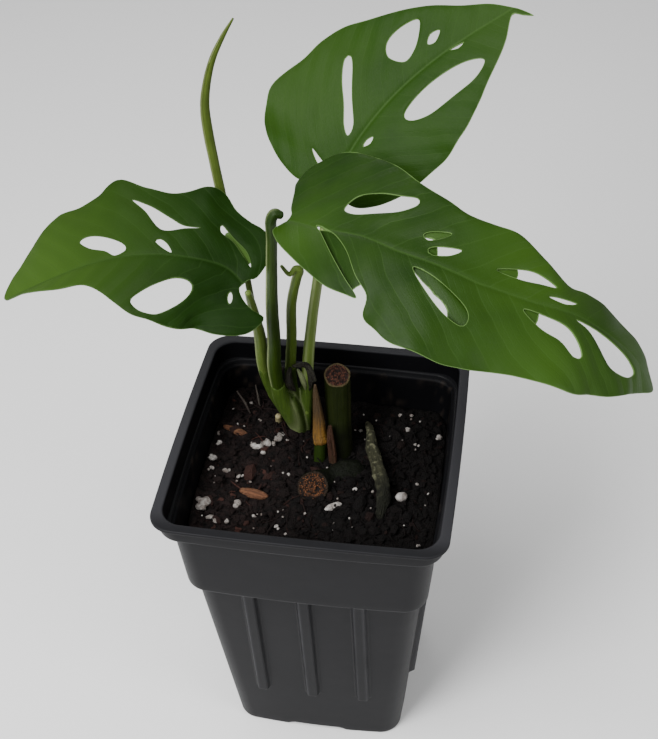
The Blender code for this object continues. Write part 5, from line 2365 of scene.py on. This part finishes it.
GREY_ROOT = RindFinish("grey root", 0.8, 0.2, light=(0.055, 0.055, 0.028), dark=(0.005, 0.0055, 0.003),
                       blotch=(0.17, 0.17, 0.1), blotch_share=0.8, streaks=3.0, relief=0.9)
CREAM_ROOT = RindFinish("cream root", 0.5, 0.3, light=(0.36, 0.32, 0.17), dark=(0.17, 0.14, 0.07),
                        blotch=(0.09, 0.06, 0.03), blotch_share=0.3, relief=0.2)
THIN_ROOT = RindFinish("thin root", 0.7, 0.2, light=(0.07, 0.058, 0.048), dark=(0.022, 0.016, 0.013),
                       blotch=(0.1, 0.09, 0.075))
STEM_END = CutFinish("stem end grain", 0.8, 0.15, light=(0.12, 0.042, 0.024), dark=(0.011, 0.006, 0.005),
                     radius=5.0)
VINE_END = CutFinish("vine end grain", 0.8, 0.15, light=(0.17, 0.066, 0.026), dark=(0.005, 0.0034, 0.0026),
                     rind=(0.016, 0.01, 0.006), radius=5.7, ring_scale=2.8)
CUT_FACE = (0.1, -0.7, 0.7)
STEM_FACE = (0.03, -0.18, 0.98)

PERLITE_PLACES = (
    (-34.1, 34.6, 0.9), (-27.9, 23.3, 0.8), (-43.5, 17.0, 1.2), (-42.2, 11.6, 1.5), (-43.0, 2.4, 2.3),
    (-42.0, -2.4, 1.2), (-36.5, -2.9, 1.5), (-31.1, -4.6, 1.3), (-28.6, 11.4, 1.5), (-24.1, 8.4, 1.2),
    (-23.2, 12.9, 2.1), (-19.3, 15.4, 1.9), (-20.9, 13.2, 1.3),
    (-41.0, -22.6, 1.8), (-43.2, -18.8, 1.5), (-28.5, -18.4, 1.9), (-29.0, -19.8, 1.4), (-36.8, -26.7, 1.6),
    (-34.6, -28.0, 1.5), (-30.4, -28.4, 1.3), (-21.2, -23.8, 1.0), (-12.0, -27.1, 1.2), (-8.1, -29.9, 0.9),
    (-12.4, -0.5, 0.9), (11.5, 28.1, 1.1), (24.1, 26.2, 1.2), (26.1, 38.8, 1.1), (30.5, 39.6, 1.0),
    (30.0, 30.5, 1.3), (42.6, 29.4, 1.7), (13.8, -4.6, 1.2), (23.8, -9.0, 1.3), (26.1, -11.9, 1.0),
    (33.8, 23.3, 0.8), (40.0, -26.7, 0.9), (36.5, 4.0, 0.8), (8.0, -22.0, 0.7),
)

GRAINS = (
    ("perlite_left", (-41.2, -20.0, 119.3), (3.2, 3.0, 1.9), 20.0, 4),
    ("perlite_middle", (-25.5, 12.7, 119.0), (4.6, 2.2, 1.9), 10.0, 4),
    ("perlite_back", (-18.5, 18.2, 118.6), (2.2, 2.4, 2.0), 60.0, 1),
    ("perlite_right", (31.5, -4.5, 115.8), (2.3, 2.0, 1.7), 0.0, 1),
    ("perlite_front", (7.0, -14.0, 117.3), (3.4, 1.4, 1.5), 35.0, 1),
    ("bark_chip_left", (-37.2, 18.6, 119.6), (5.6, 1.7, 1.4), -18.0, 1),
    ("bark_chip_front", (-23.5, -12.5, 118.7), (5.8, 2.0, 1.6), -12.0, 1),
)

BLADES = (
    LeafBlade(
        name="leaf_left",
        slot="leaf_green",
        finish=LEFT_GREEN,
        midrib=[(-25, 11, 199), (-33, 15.5, 203.5), (-44, 15.5, 206.5), (-60, 14.5, 207.5), (-78, 13, 204),
                (-97, 10.5, 196), (-116, 9.5, 185)],
        roll=[18, 18, 14, 10],
        left_fold=[(-2, -22), (-4, -26), (8, 0), (34, 30)],
        right_fold=[(6, -2), (8, 4), (6, 2), (4, -10)],
        ripples=[(3, 10, 50, 1), (-2, 7, 33, 1), (3, 8, 21, 1), (-2, 9, 66, 1), (2.5, 10, 84, 1),
                 (2, 8, -8, -1), (-2, 10, 10, -1), (3, 12, 34, -1), (-2, 10, 54, -1)],
        outline=[(99.2, 1), (97.5, 9), (94, 14), (91, 18.5), (87, 21.5), (82, 25), (76.5, 28), (70, 28.5),
                 (63, 27.5), (57, 28), (53, 30.3), (48.5, 31), (41, 27.5), (34, 25.5), (28, 26), (22.5, 28),
                 (17, 27.5), (13.5, 22), (10.5, 19.5), (8, 19), (5.5, 14.5), (1.5, 10.5), (0, 5), (1.5, 2),
                 (1.5, -2), (-2, -4), (-7, -4.5), (-12, -3.5), (-13, -7), (-12, -12), (-8, -17),
                 (-1.5, -21.5), (8, -25), (18, -27), (27, -27), (35, -25.5), (43, -23), (50, -18), (56, -13),
                 (63, -9), (72, -8), (82, -5), (91, -1.5)],
        holes=[
            [(64, 11), (61, 12), (55.5, 10), (48, 5.5), (46.5, 2.5), (50.5, 1), (54, 3.5), (60, 6.5)],
            [(45, 22.5), (39, 19.5), (32.5, 15), (27.5, 12), (22, 11.8), (27, 10.9), (32.5, 9.5), (36, 11),
             (40.5, 17.5)],
            [(36, 5), (34.5, 6), (32, 4.3), (30, 1), (33, 2.3)],
            [(43, -17.5), (39, -14.5), (32.5, -11), (25.5, -8), (18.5, -8.5), (15.5, -11), (18.5, -14.5),
             (25, -19), (32, -23), (38, -22.5), (42, -20)],
            [(3, -7), (2.5, -5), (0.3, -6.5), (-0.5, -9)],
            [(15.5, 14.8), (12, 11), (8, 8.5), (4.5, 5.7), (8.5, 7), (12, 10), (15.3, 12)],
        ],
        fresh=[(99.0, 2.0, 88.0, 1.0), (60.0, 22.0, 22.0, 0.5)],
        eased=(14.5, -18.0, 19.0),
    ),
    LeafBlade(
        name="leaf_right",
        slot="leaf_green",
        finish=RIGHT_GREEN,
        midrib=[(-10, 14, 226.5), (3, 7.5, 231.5), (22, -1, 235), (42, -8, 234), (62, -12.5, 229),
                (80, -14, 221), (95, -11.5, 210), (106, -9, 198), (113.5, -8.5, 185)],
        roll=[-8, -10, -12, -12, -5],
        left_fold=[(12, 6), (14, 8), (14, 4), (8, -18), (4, -30)],
        right_fold=[(0, -20), (-2, -26), (-4, -28), (-8, -30), (-5, -30)],
        ripples=[(2, 16, 8, -1), (-2, 12, 54, -1), (2.5, 12, 77, -1), (-3, 11, 101, -1), (2.5, 14, 116, -1),
                 (2, 10, 25, 1), (-3, 8, 45, 1), (2.5, 12, 64, 1), (-2, 10, 86, 1), (2.5, 10, 104, 1),
                 (-2, 14, 124, 1)],
        outline=[(1, -2), (-1, -5), (-4, -12), (-6, -17), (-4, -24), (4, -28.5), (17, -29), (31, -26),
                 (43, -21), (54, -18.5), (62, -16), (71, -16), (80, -16.5), (91, -13), (102, -9.5),
                 (110, -11), (119, -11.5), (129, -11), (139, -9.5), (146, -6), (151, -1), (145, 6),
                 (137, 13), (126, 19.5), (117, 23), (108, 26.5), (97, 27), (87, 29), (78, 32.5), (69, 34.5),
                 (58, 34.5), (50, 31), (45.5, 28), (44, 22), (38, 17.5), (31, 10), (23, 4.5), (15, 2.2),
                 (19, 5.5), (28, 13.5), (36, 20), (41.5, 24), (35, 24.5), (28, 23.5), (18, 19), (8.5, 14),
                 (2.5, 10), (-2, 5.5), (0, 2)],
        holes=[
            [(21.5, -6), (24, -11.5), (31, -14), (38, -14.7), (44, -15.5), (45, -13), (40.5, -9), (34, -6.5),
             (26, -4.5)],
            [(51.5, -4), (54, -6), (59.5, -7.5), (57, -4.5), (53.5, -2.6)],
            [(55, 0.5), (57, -1.5), (64.5, -3.5), (62, -0.3), (57, 1.8)],
            [(77, -2), (82.5, -5), (89, -7), (97, -6), (91, -4), (84.5, -2.3)],
            [(95.5, -1.5), (99, -3), (106, -4.5), (101.5, -2)],
            [(53.5, 8.5), (58.5, 8.5), (66, 11), (73, 14.5), (75, 18), (73.5, 20.5), (67, 19), (59.5, 14)],
            [(89, 6.7), (96, 5.4), (103, 5.5), (107.5, 8.5), (110, 13), (107, 14.5), (102, 11.3), (95.5, 10)],
            [(106.5, 1.4), (115, 1), (125, 1.8), (132, 3), (136, 5.3), (131, 10), (123, 11), (117, 6.6),
             (111.5, 2.8)],
        ],
        fresh=[(104.0, 22.0, 42.0, 0.9), (142.0, 4.0, 44.0, 0.95), (92.0, -12.0, 46.0, 0.9),
               (8.0, 9.0, 26.0, 0.8)],
        rib_line=[(0, 0), (10, 2.2), (16, 3.4), (33, 3.0), (46, 4.7), (60, 4.5), (73, 5.0), (90, 3.0),
                  (106, -0.5),
                  (150, -1.0)],
    ),
    LeafBlade(
        name="leaf_back",
        slot="leaf_mid_green",
        finish=BACK_GREEN,
        midrib=[(1, 48, 222), (10, 56, 236), (22, 64, 249), (38, 72, 261), (58, 80, 272.4)],
        roll=[-25, -28, -30],
        left_fold=[(8, -6), (8, -6), (8, -8)],
        right_fold=[(5, -14), (5, -14), (4, -18)],
        ripples=[(2, 14, 62, -1), (-2, 10, 38, -1), (2.5, 14, 12, -1), (2, 14, 50, 1), (-2, 10, 30, 1),
                 (-2, 10, 70, 1)],
        outline=[(83, 2), (86, 4.2), (89, 6.5), (86.5, 2), (84, -1), (78.5, -6), (70, -11), (62, -17),
                 (53.5, -22.5), (45, -27.5), (38, -33), (32, -34.5), (24.5, -35), (19, -36.5), (13.5, -37.5),
                 (8.5, -35.5), (0.5, -32.5), (-4, -26), (-7, -18.5), (-8, -11), (-5, -4), (1, -1.5),
                 (1, 1.5), (-4, 4), (-5, 12), (0, 19), (8, 25), (17.5, 28), (28, 29.3), (35.5, 29.5),
                 (42, 28.5), (49, 27), (58, 22.5), (66.5, 17), (73, 12.5), (77.5, 8.5)],
        holes=[
            [(33.7, -22), (32, -22.8), (27, -18), (22, -12), (16.5, -7), (14.5, -3.8), (18.5, -4.5),
             (25, -11), (31.5, -18)],
            [(56.5, -15.5), (54.5, -11.5), (50, -7.5), (45, -6.3), (42, -11.5), (44.5, -16), (50.5, -17.2)],
            [(60.3, -7.5), (57, -5), (54.5, -6), (57, -8.3)],
            [(59.5, 0.5), (64.5, 1.2), (62, 1.9)],
            [(67.5, 11), (62.5, 8), (53.5, 6.5), (42.5, 6.4), (33, 8), (33.5, 11.7), (41, 15), (53, 15.5),
             (62, 14.5)],
            [(14.5, 3.3), (17, 3), (19.5, 4.3), (17, 4.9)],
            [(4.2, -12.5), (3, -9), (1.2, -4.5), (0.3, -7), (1.8, -10)],
        ],
        fresh=[(20.0, -30.0, 34.0, 0.5), (80.0, 3.0, 30.0, 0.35)],
    ),
)


RIMS = (
    CurledRim("leaf_left_rims", BLADES[0], (
        ([(13.9, 12.9), (12, 11.9), (9.6, 10.2), (6.8, 8.6), (5.8, 6.2), (8.5, 6.2), (12, 9.2), (14.2, 11.2)],
         ((14, 13), (5, 7)), 0.9, 0.9),
    )),
    CurledRim("leaf_right_rims", BLADES[1], (
        ([(15.5, 2.9), (20.5, 3.2), (26.5, 4.0), (33, 8.8), (38, 14.8), (41, 18.5), (40, 20.5), (38, 22.8),
          (35.5, 22.5), (31, 18.5), (25, 12.5), (19, 6.5)], ((23, 3), (42, 19)), 2.2, 0.0),
        ([(52.5, 7.4), (59.5, 7.6), (67.5, 10.4), (74.5, 13.8), (76.5, 18), (75, 21.3), (70.5, 20.6),
          (68.2, 17.0), (65.4, 15.0), (62.6, 13.9), (60.8, 12.7), (56.7, 10.6)], ((58, 7.5), (76.5, 17)), 2.0,
          0.15),
        ([(50.8, -3.6), (52.8, -5.9), (56.4, -8.0), (60.6, -8.6), (60.8, -6.7), (58.6, -4.2), (56.5, -3.6),
          (54.5, -3.9), (52.5, -3.6)], ((51, -5), (61, -9)), 0.8, 0.8),
        ([(54.0, 1.4), (54.2, -1.0), (56.4, -2.6), (57.8, -0.6), (58.6, 1.8), (56.7, 3.0)],
         ((54, -2), (54, 3)), 0.8, 0.3),
        ([(75.8, -2.3), (81.8, -6.0), (84.0, -3.0), (80.5, -1.2), (77.4, -0.8)], ((76, -3), (82, -6)), 0.6,
         0.8),
        ([(87.8, 6.4), (93.2, 4.5), (94.5, 7.6), (93.7, 9.4), (90.6, 9.2)], ((88, 5), (93, 4)), 0.6, 0.7),
    )),
)

CROWN = Crown(
    "crown_stem", ("crown_stem",), "petiole_green", CROWN_GREEN,
    feet=(
        ([(-11.3, 26.0, 107), (-12.0, 25.0, 115), (-12.9, 23.6, 122), (-14.6, 22.5, 130), (-16.4, 21.6, 137)],
         (2.9, 3.2, 3.8, 4.2, 3.6)),
        ([(-12.8, 25.4, 112), (-14.6, 24.6, 120), (-17.0, 23.6, 128), (-20.5, 22.8, 137), (-22.9, 22.1, 145),
          (-24.0, 21.3, 152)], (2.2, 2.5, 2.8, 2.8, 2.6, 2.3)),
        ([(-11.8, 24.9, 112), (-12.9, 23.4, 120), (-14.9, 21.0, 129), (-17.2, 19.3, 138), (-18.6, 18.3, 147)],
         (2.3, 2.8, 3.4, 3.2, 2.7)),
        ([(-11.4, 25.6, 114), (-12.8, 25.2, 124), (-14.4, 24.8, 134), (-14.9, 24.9, 144), (-14.5, 25.0, 151)],
         (2.3, 2.9, 2.9, 2.4, 2.1)),
        ([(-10.4, 25.4, 108), (-10.3, 25.2, 116), (-9.9, 25.2, 126), (-9.4, 26.6, 136), (-8.9, 28.4, 145)],
         (2.2, 2.5, 2.7, 2.6, 2.3)),
    ),
)

STALKS = (
    Sweep("petiole_left", ("petiole_left",), "petiole_green",
          route=[(-21.6, 22.5, 137), (-23.2, 22, 145), (-24.2, 21, 155), (-23.8, 18.7, 169), (-24, 16, 180),
                 (-24.5, 13.3, 190.3), (-24.8, 11.2, 196.2)],
          radii=(1.9, 2.2, 2.3, 2.2, 1.8, 1.5, 1.2), finish=PETIOLE, ridge_turns=(15.0,), groove_turn=42.0,
          twist=0.5),
    Sweep("petiole_right", ("petiole_right",), "petiole_green",
          route=[(-17.6, 19.2, 139), (-18.6, 18.3, 147), (-19, 17.4, 157.5), (-18.1, 16.4, 171),
                 (-17.5, 15, 188.5), (-16.4, 14, 205), (-15.3, 13, 219), (-15.1, 12.9, 226),
                 (-13.8, 13.3, 229), (-11.8, 13.8, 228.4)],
          radii=(2.3, 2.5, 2.6, 2.4, 2.2, 2.0, 1.9, 1.9, 1.8, 1.4),
          finish=StalkFinish("right petiole green", 0.4, 0.15, light=(0.029, 0.054, 0.007),
                             dark=(0.013, 0.029, 0.0027),
                             stain=(0.007, 0.022, 0.0018)), stain_above=214.0,
          ridge_turns=(30.0,), groove_turn=58.0, twist=-0.3),
    Sweep("petiole_old", ("petiole_old",), "petiole_green",
          route=[(-14.8, 24.6, 139), (-14.8, 25, 146), (-14.2, 25, 156), (-13.2, 24, 166),
                 (-12, 22.3, 183.5), (-9.4, 21, 196), (-7.9, 20.8, 200.2), (-9.4, 20.4, 201.2),
                 (-11.6, 19.8, 199), (-14, 19, 203)],
          radii=(1.9, 2.0, 2.0, 1.9, 1.8, 1.7, 1.4, 1.2, 0.9, 0.6),
          finish=StalkFinish("old petiole green", 0.44, 0.15, light=(0.1, 0.15, 0.024),
                             dark=(0.045, 0.08, 0.01)),
          ridge_turns=(25.0,), groove_turn=52.0, uneven_size=2.2, unevenness=0.06),
    Sweep("petiole_back", ("petiole_back",), "petiole_green",
          route=[(-9.7, 24.6, 128), (-9.3, 26.4, 136), (-8.9, 28.5, 146), (-8.2, 31, 157),
                 (-6.8, 34.2, 170.5), (-5.3, 37.5, 182), (-3.3, 42, 199), (-0.6, 46.2, 214),
                 (0.4, 47.3, 219.6)],
          radii=(2.0, 2.2, 2.2, 2.1, 2.0, 1.9, 1.8, 1.6, 1.3), finish=BACK_PETIOLE, ridge_turns=(160.0, 70.0),
          groove_turn=135.0),
    RolledLeaf("new_leaf", ("new_leaf",), "new_leaf_olive",
               route=[(-21, 25.6, 136), (-24, 26.4, 143), (-26, 27.4, 156), (-28, 29, 171.5),
                      (-29.5, 31, 181.5),
                      (-31, 33, 190), (-34.5, 37, 197), (-38, 41.5, 206), (-40.3, 44.5, 215),
                      (-42.2, 46.5, 227),
                      (-43.6, 48, 238), (-44, 49, 247.5), (-42.5, 50, 256.5), (-40, 51, 264.5),
                      (-36.2, 52, 272),
                      (-32.4, 53, 278.1)],
               radii=(1.1, 1.2, 1.2, 1.2, 1.2, 1.2, 1.3, 1.5, 1.7, 1.7, 1.75, 1.6, 1.35, 1.1, 0.8, 0.35),
               finish=OLIVE, twist=0.6, ring_gap=0.7),
    Sweep("young_stem", ("young_stem",), "petiole_green",
          route=[(-2.6, 9, 108), (-2.3, 10.5, 114), (-2, 13.3, 123.3)],
          radii=(2.2, 2.5, 2.5), finish=YOUNG_GREEN, stain_below=116.0),
)

OLD_GROWTH = (
    Sheath("yellow_sheath", ("yellow_sheath",), "sheath_ochre",
           route=[(-2, 13.5, 124), (-2.5, 14.4, 127.5), (-3.1, 16, 135), (-4, 18, 144), (-4.2, 18.6, 148)],
           radii=(3.0, 2.7, 2.0, 1.15, 0.5), finish=OCHRE, ring_gap=0.5, sides=36, crease_depth=0.05,
           stain_above=126.0),
    Sheath("dark_hood", ("dark_hood",), "sheath_dark",
           route=[(-4.6, 20.2, 148.8), (-5.6, 21.2, 150.8), (-8, 23.0, 153.6), (-10.8, 21.8, 154.6),
                  (-13, 21.6, 153.8)],
           radii=(0.8, 1.0, 1.1, 0.8, 0.5), finish=DARK_SHEATH, ring_gap=0.35, crease_depth=0.2),
    Sheath("hood_curl", (), "sheath_dark",
           route=[(-13.8, 21.2, 153.4), (-14.6, 20.4, 150.6), (-14.4, 19.9, 147.4), (-13.4, 19.8, 144.6),
                  (-12.2, 20.0, 142.8)],
           radii=(0.5, 1.1, 1.5, 1.1, 0.4), finish=DARK_SHEATH, ring_gap=0.35, crease_depth=0.2),
    Sheath("hood_lining", (), "sheath_dark",
           route=[(-11.0, 21.0, 153.0), (-9.8, 20.2, 151.0), (-8.6, 19.6, 148.0), (-8.2, 19.4, 144.6)],
           radii=(0.4, 0.9, 1.0, 0.4), finish=PALE_LINING, ring_gap=0.35, crease_depth=0.12),
    Sheath("hood_edge", (), "sheath_dark",
           route=[(-7.8, 22.0, 153.2), (-6.4, 20.9, 151.2), (-6.0, 20.0, 147.6), (-6.6, 19.4, 144.4)],
           radii=(0.5, 1.0, 0.9, 0.3), finish=DARK_SHEATH, ring_gap=0.35, crease_depth=0.2),
    Sheath("papery_sheath", ("papery_sheath",), "sheath_brown",
           route=[(3.6, 7.6, 112), (3.3, 8.6, 118), (2.4, 11, 126), (1.8, 13.4, 132)],
           radii=(1.3, 1.5, 1.4, 0.7), finish=PAPER, ring_gap=0.4, crease_depth=0.22, unevenness=0.12),
    # Painted shade: the cut stem turns near black below 133 mm, where it stands in shade.
    CutStem("cut_stem", ("cut_stem",), "old_stem_green",
            route=[(5.6, 13.5, 108), (5.2, 15.8, 117), (4.2, 19.8, 128), (3.6, 23.6, 138),
                   (3.0, 26.6, 146.6)],
            radii=(4.7, 4.8, 4.9, 5.0, 5.0), finish=OLD_GREEN, face=STEM_FACE, face_finish=STEM_END, sides=56,
            ring_gap=0.5, stain_below=133.0, ridge_turns=(165.0,)),
    CutStem("old_vine", ("old_vine",), "old_vine_brown",
            route=[(15, 9.5, 110), (9.5, 6.5, 113.6), (3, 2, 113.6), (-1, -3.6, 117), (-1.5, -8.4, 121)],
            radii=(4.6, 6.0, 5.5, 5.6, 5.7), finish=VINE_RIND, face=CUT_FACE, face_finish=VINE_END, sides=56,
            ring_gap=0.5, scars=(0.3, 0.86), unevenness=0.08),
    AgedRoot("old_root", ("old_root",), "root_grey",
             route=[(13.2, 34, 114), (14.2, 30.5, 117.5), (16.2, 23.5, 119), (17.8, 16, 119),
                    (21.4, 5, 119.6), (24.8, -4.5, 118.6), (24.6, -12, 115.8), (24, -15.5, 112.6)],
             radii=(0.7, 1.3, 1.9, 2.3, 2.7, 2.7, 2.1, 1.2), finish=GREY_ROOT, ring_gap=0.45, sides=32,
             unevenness=0.3,
             uneven_size=2.4, soiled_from=0.55),
    Sweep("root_tip", ("root_tip",), "root_cream",
          route=[(-21, 26.5, 114), (-20.9, 25.5, 119), (-20.6, 23.4, 125)],
          radii=(1.2, 1.5, 1.2), finish=CREAM_ROOT, ring_gap=0.4),
)

FINE_ROOTS = (
    Sweep("thin_root_left", (), "root_grey",
          route=[(-40.0, 36.0, 124.5), (-36.5, 33.0, 121.8), (-33.5, 29.0, 119.8)],
          radii=(0.3, 0.5, 0.35), finish=THIN_ROOT, sides=10, ring_gap=0.7),
    Sweep("thin_root_right", (), "root_grey",
          route=[(-33.0, 39.5, 125.5), (-31.5, 36.0, 122.6), (-30.0, 32.0, 120.2)],
          radii=(0.25, 0.4, 0.3), finish=THIN_ROOT, sides=10, ring_gap=0.7),
)


@dataclass
class Grains:
    """Perlite grains and bark chips that lie on the mix."""

    mix: PottingMix
    perlite: Sequence[Tuple[float, float, float]] = PERLITE_PLACES
    loose: int = 80
    seed: int = 21

    def lay(self, rows: np.ndarray, sunk: float) -> np.ndarray:
        """Set grains on the mix.

        Args:
            rows: Place to the right, place to the back and size of each grain.
            sunk: How deep they sink, as a share of their size.

        Returns:
            Their middles.
        """
        x, y, size = rows.T
        return np.column_stack([x, y, self.mix.height(x, y) + 0.45 + size * (1 - sunk)])

    def build_perlite(self, finish: Finish) -> bpy.types.Object:
        """Lay the loose perlite: the grains seen in the picture and a thin scatter of specks.

        Args:
            finish: Its surface.

        Returns:
            The grains.
        """
        draw = np.random.default_rng(self.seed)
        rows = []
        for x, y, size in self.perlite:
            rows.append((x, y, size * 0.75))
            for _ in range(2 if size > 1.5 else 1):
                rows.append((x + draw.normal(0, size * 0.5), y + draw.normal(0, size * 0.5), size * 0.5))
        for x, y, _ in self.mix.spots(self.loose, draw, 2.0):
            rows.append((x, y, float(draw.uniform(0.25, 0.6))))
        held = np.array(rows)
        halves = held[:, 2:] * draw.uniform([0.8, 0.75, 0.6], [1.25, 1.0, 0.9], (len(held), 3))
        points, faces, owner = scatter_grains(self.lay(held, 0.55), halves, draw, True, 0.32)
        tone = draw.uniform(0, 1, len(held)) ** 2
        return add_piece("perlite_loose", points, faces, [finish.make()], {"tone": tone[owner]}, crease=180.0)

    def build_grain(self, name: str, middle: Colour, halves: Colour, turn: float, clump: int) -> None:
        """Build one large grain, or a clump of some, in place of its solid.

        Args:
            name: Name of the piece and of its solid.
            middle: Its middle.
            halves: Its half sizes.
            turn: Its turn about the upright, in degrees.
            clump: How many lobes it has.
        """
        draw = np.random.default_rng(sum(ord(letter) for letter in name))
        c, s = math.cos(math.radians(turn)), math.sin(math.radians(turn))
        shape, triangles = ball(True)
        points, faces = [], []
        for lobe in range(clump):
            share = 1.0 if clump == 1 else draw.uniform(0.5, 0.68)
            shift = np.zeros(3) if clump == 1 else draw.uniform(-0.5, 0.5, 3) * halves * np.array([1, 1, 0.5])
            body = shape * (1 + 0.26 * rough(shape + lobe * 4.1 + turn, 0.8, 5, 3))[:, None]
            x, y, z = (body * np.array(halves) * share + shift).T
            faces += [tuple(int(i) + lobe * len(shape) for i in t) for t in triangles]
            points.append(np.column_stack([x * c - y * s, x * s + y * c, z]))
        body = np.vstack(points) + np.array(middle)
        x, y, z = body.T
        marks = {"tone": np.clip(0.25 + 0.4 * rough(body, 1.6, 7, 2), 0, 1),
                 "place": np.column_stack([x * c + y * s, y * c - x * s, z])}
        slot, finish = ("bark", BARK) if name.startswith("bark") else ("perlite", PERLITE)
        settle(add_piece(name, body, faces, [finish.make()], marks, crease=180.0), (name,))


# The studio


class Side(Enum):
    """Where a light stands, as a direction from the plant."""

    LEFT_FRONT = (-0.6, -0.9, 0.85)
    RIGHT = (1.0, -0.5, 0.6)
    ABOVE = (-0.3, -0.3, 1.0)
    BEHIND = (-0.35, 0.95, 0.75)


@dataclass
class Studio:
    """A pale floor, soft lights and a camera that looks down on the plant."""

    camera_place: Colour = (64.6, -317.6, 464.6)
    camera_turn: Colour = (47.97, 1.77, 9.05)
    lens: float = 60.27
    floor_half: float = 1800.0
    floor_steps: int = 24
    flat_share: float = 0.7
    floor_rise: float = 900.0
    aim: Colour = (0.0, 5.0, 150.0)
    lights: Sequence[Tuple[Side, float, float, float]] = (
        (Side.LEFT_FRONT, 900.0, 460.0, 9.0),
        (Side.RIGHT, 900.0, 420.0, 3.0),
        (Side.ABOVE, 950.0, 620.0, 9.0),
        (Side.BEHIND, 900.0, 300.0, 0.9),
    )
    surround: float = 0.42

    def build_floor(self) -> None:
        """Lay the floor, which curves up a little at its far edges."""
        steps = self.floor_steps
        line = np.linspace(-1, 1, steps + 1)
        points = []
        for y in line:
            for x in line:
                away = max(math.hypot(x, y) - self.flat_share, 0.0)
                points.append((x * self.floor_half, y * self.floor_half, self.floor_rise * away**2))
        corners = [j * (steps + 1) + i for j in range(steps) for i in range(steps)]
        faces = [(k, k + 1, k + steps + 2, k + steps + 1) for k in corners]
        floor = add_piece("floor", np.array(points), faces, [FloorFinish("pale floor", 0.75).make()])

    def build_lights(self) -> None:
        """Hang one large soft light on each side."""
        for side, away, size, power in self.lights:
            data = bpy.data.lights.new(side.name.lower(), "AREA")
            data.shape = "DISK"
            data.size = size * MM
            data.energy = power
            lamp = bpy.data.objects.new(side.name.lower(), data)
            direction = Vector(side.value).normalized()
            lamp.location = Vector(self.aim) * MM + direction * away * MM
            lamp.rotation_euler = direction.to_track_quat("Z", "Y").to_euler()
            bpy.context.scene.collection.objects.link(lamp)
        world = bpy.data.worlds.new("soft surround")
        world.use_nodes = True
        sky = world.node_tree.nodes["Background"].inputs
        sky["Color"].default_value = (1.0, 1.0, 1.0, 1.0)
        sky["Strength"].default_value = self.surround
        bpy.context.scene.world = world

    def build_camera(self) -> None:
        """Place the camera at the height and angle of the picture."""
        data = bpy.data.cameras.new("camera")
        data.lens = self.lens
        data.sensor_width = 36.0
        data.sensor_fit = "AUTO"
        camera = bpy.data.objects.new("camera", data)
        camera.location = Vector(self.camera_place) * MM
        camera.rotation_euler = [math.radians(turn) for turn in self.camera_turn]
        bpy.context.scene.collection.objects.link(camera)
        bpy.context.scene.camera = camera

    def build(self) -> None:
        """Set up the floor, the lights and the camera."""
        self.build_floor()
        self.build_lights()
        self.build_camera()


@dataclass
class PottedMonstera:
    """The whole plant in its pot."""

    pot: NurseryPot = field(default_factory=NurseryPot)

    def build_pot(self) -> None:
        """Build the pot, the mix in it and the grains on it."""
        settle(self.pot.build(PLASTIC, SHADED_INSIDE_PLASTIC), ("pot",))
        mix = PottingMix(self.pot)
        settle(mix.build(SOIL), ("potting_mix",))
        settle(mix.build_crumbs(SOIL))
        settle(mix.build_fibres(SOIL))
        grains = Grains(mix)
        settle(grains.build_perlite(PERLITE))
        for row in GRAINS:
            grains.build_grain(*row)

    def build_shoot(self) -> None:
        """Build the living shoot."""
        CROWN.build()
        for stalk in STALKS:
            stalk.build()
        for blade in BLADES:
            settle(blade.build(), (blade.name,))
        for rims in RIMS:
            rims.build()

    def build_old_growth(self) -> None:
        """Build the cut stems, dry sheaths and roots."""
        for body in OLD_GROWTH + FINE_ROOTS:
            body.build()


def main() -> None:
    """Build the studio and the plant, and note their sizes."""
    logging.basicConfig(level=logging.INFO, format="%(message)s")
    Studio().build()
    plant = PottedMonstera()
    plant.build_pot()
    plant.build_shoot()
    plant.build_old_growth()


if __name__ == "__main__":
    main()
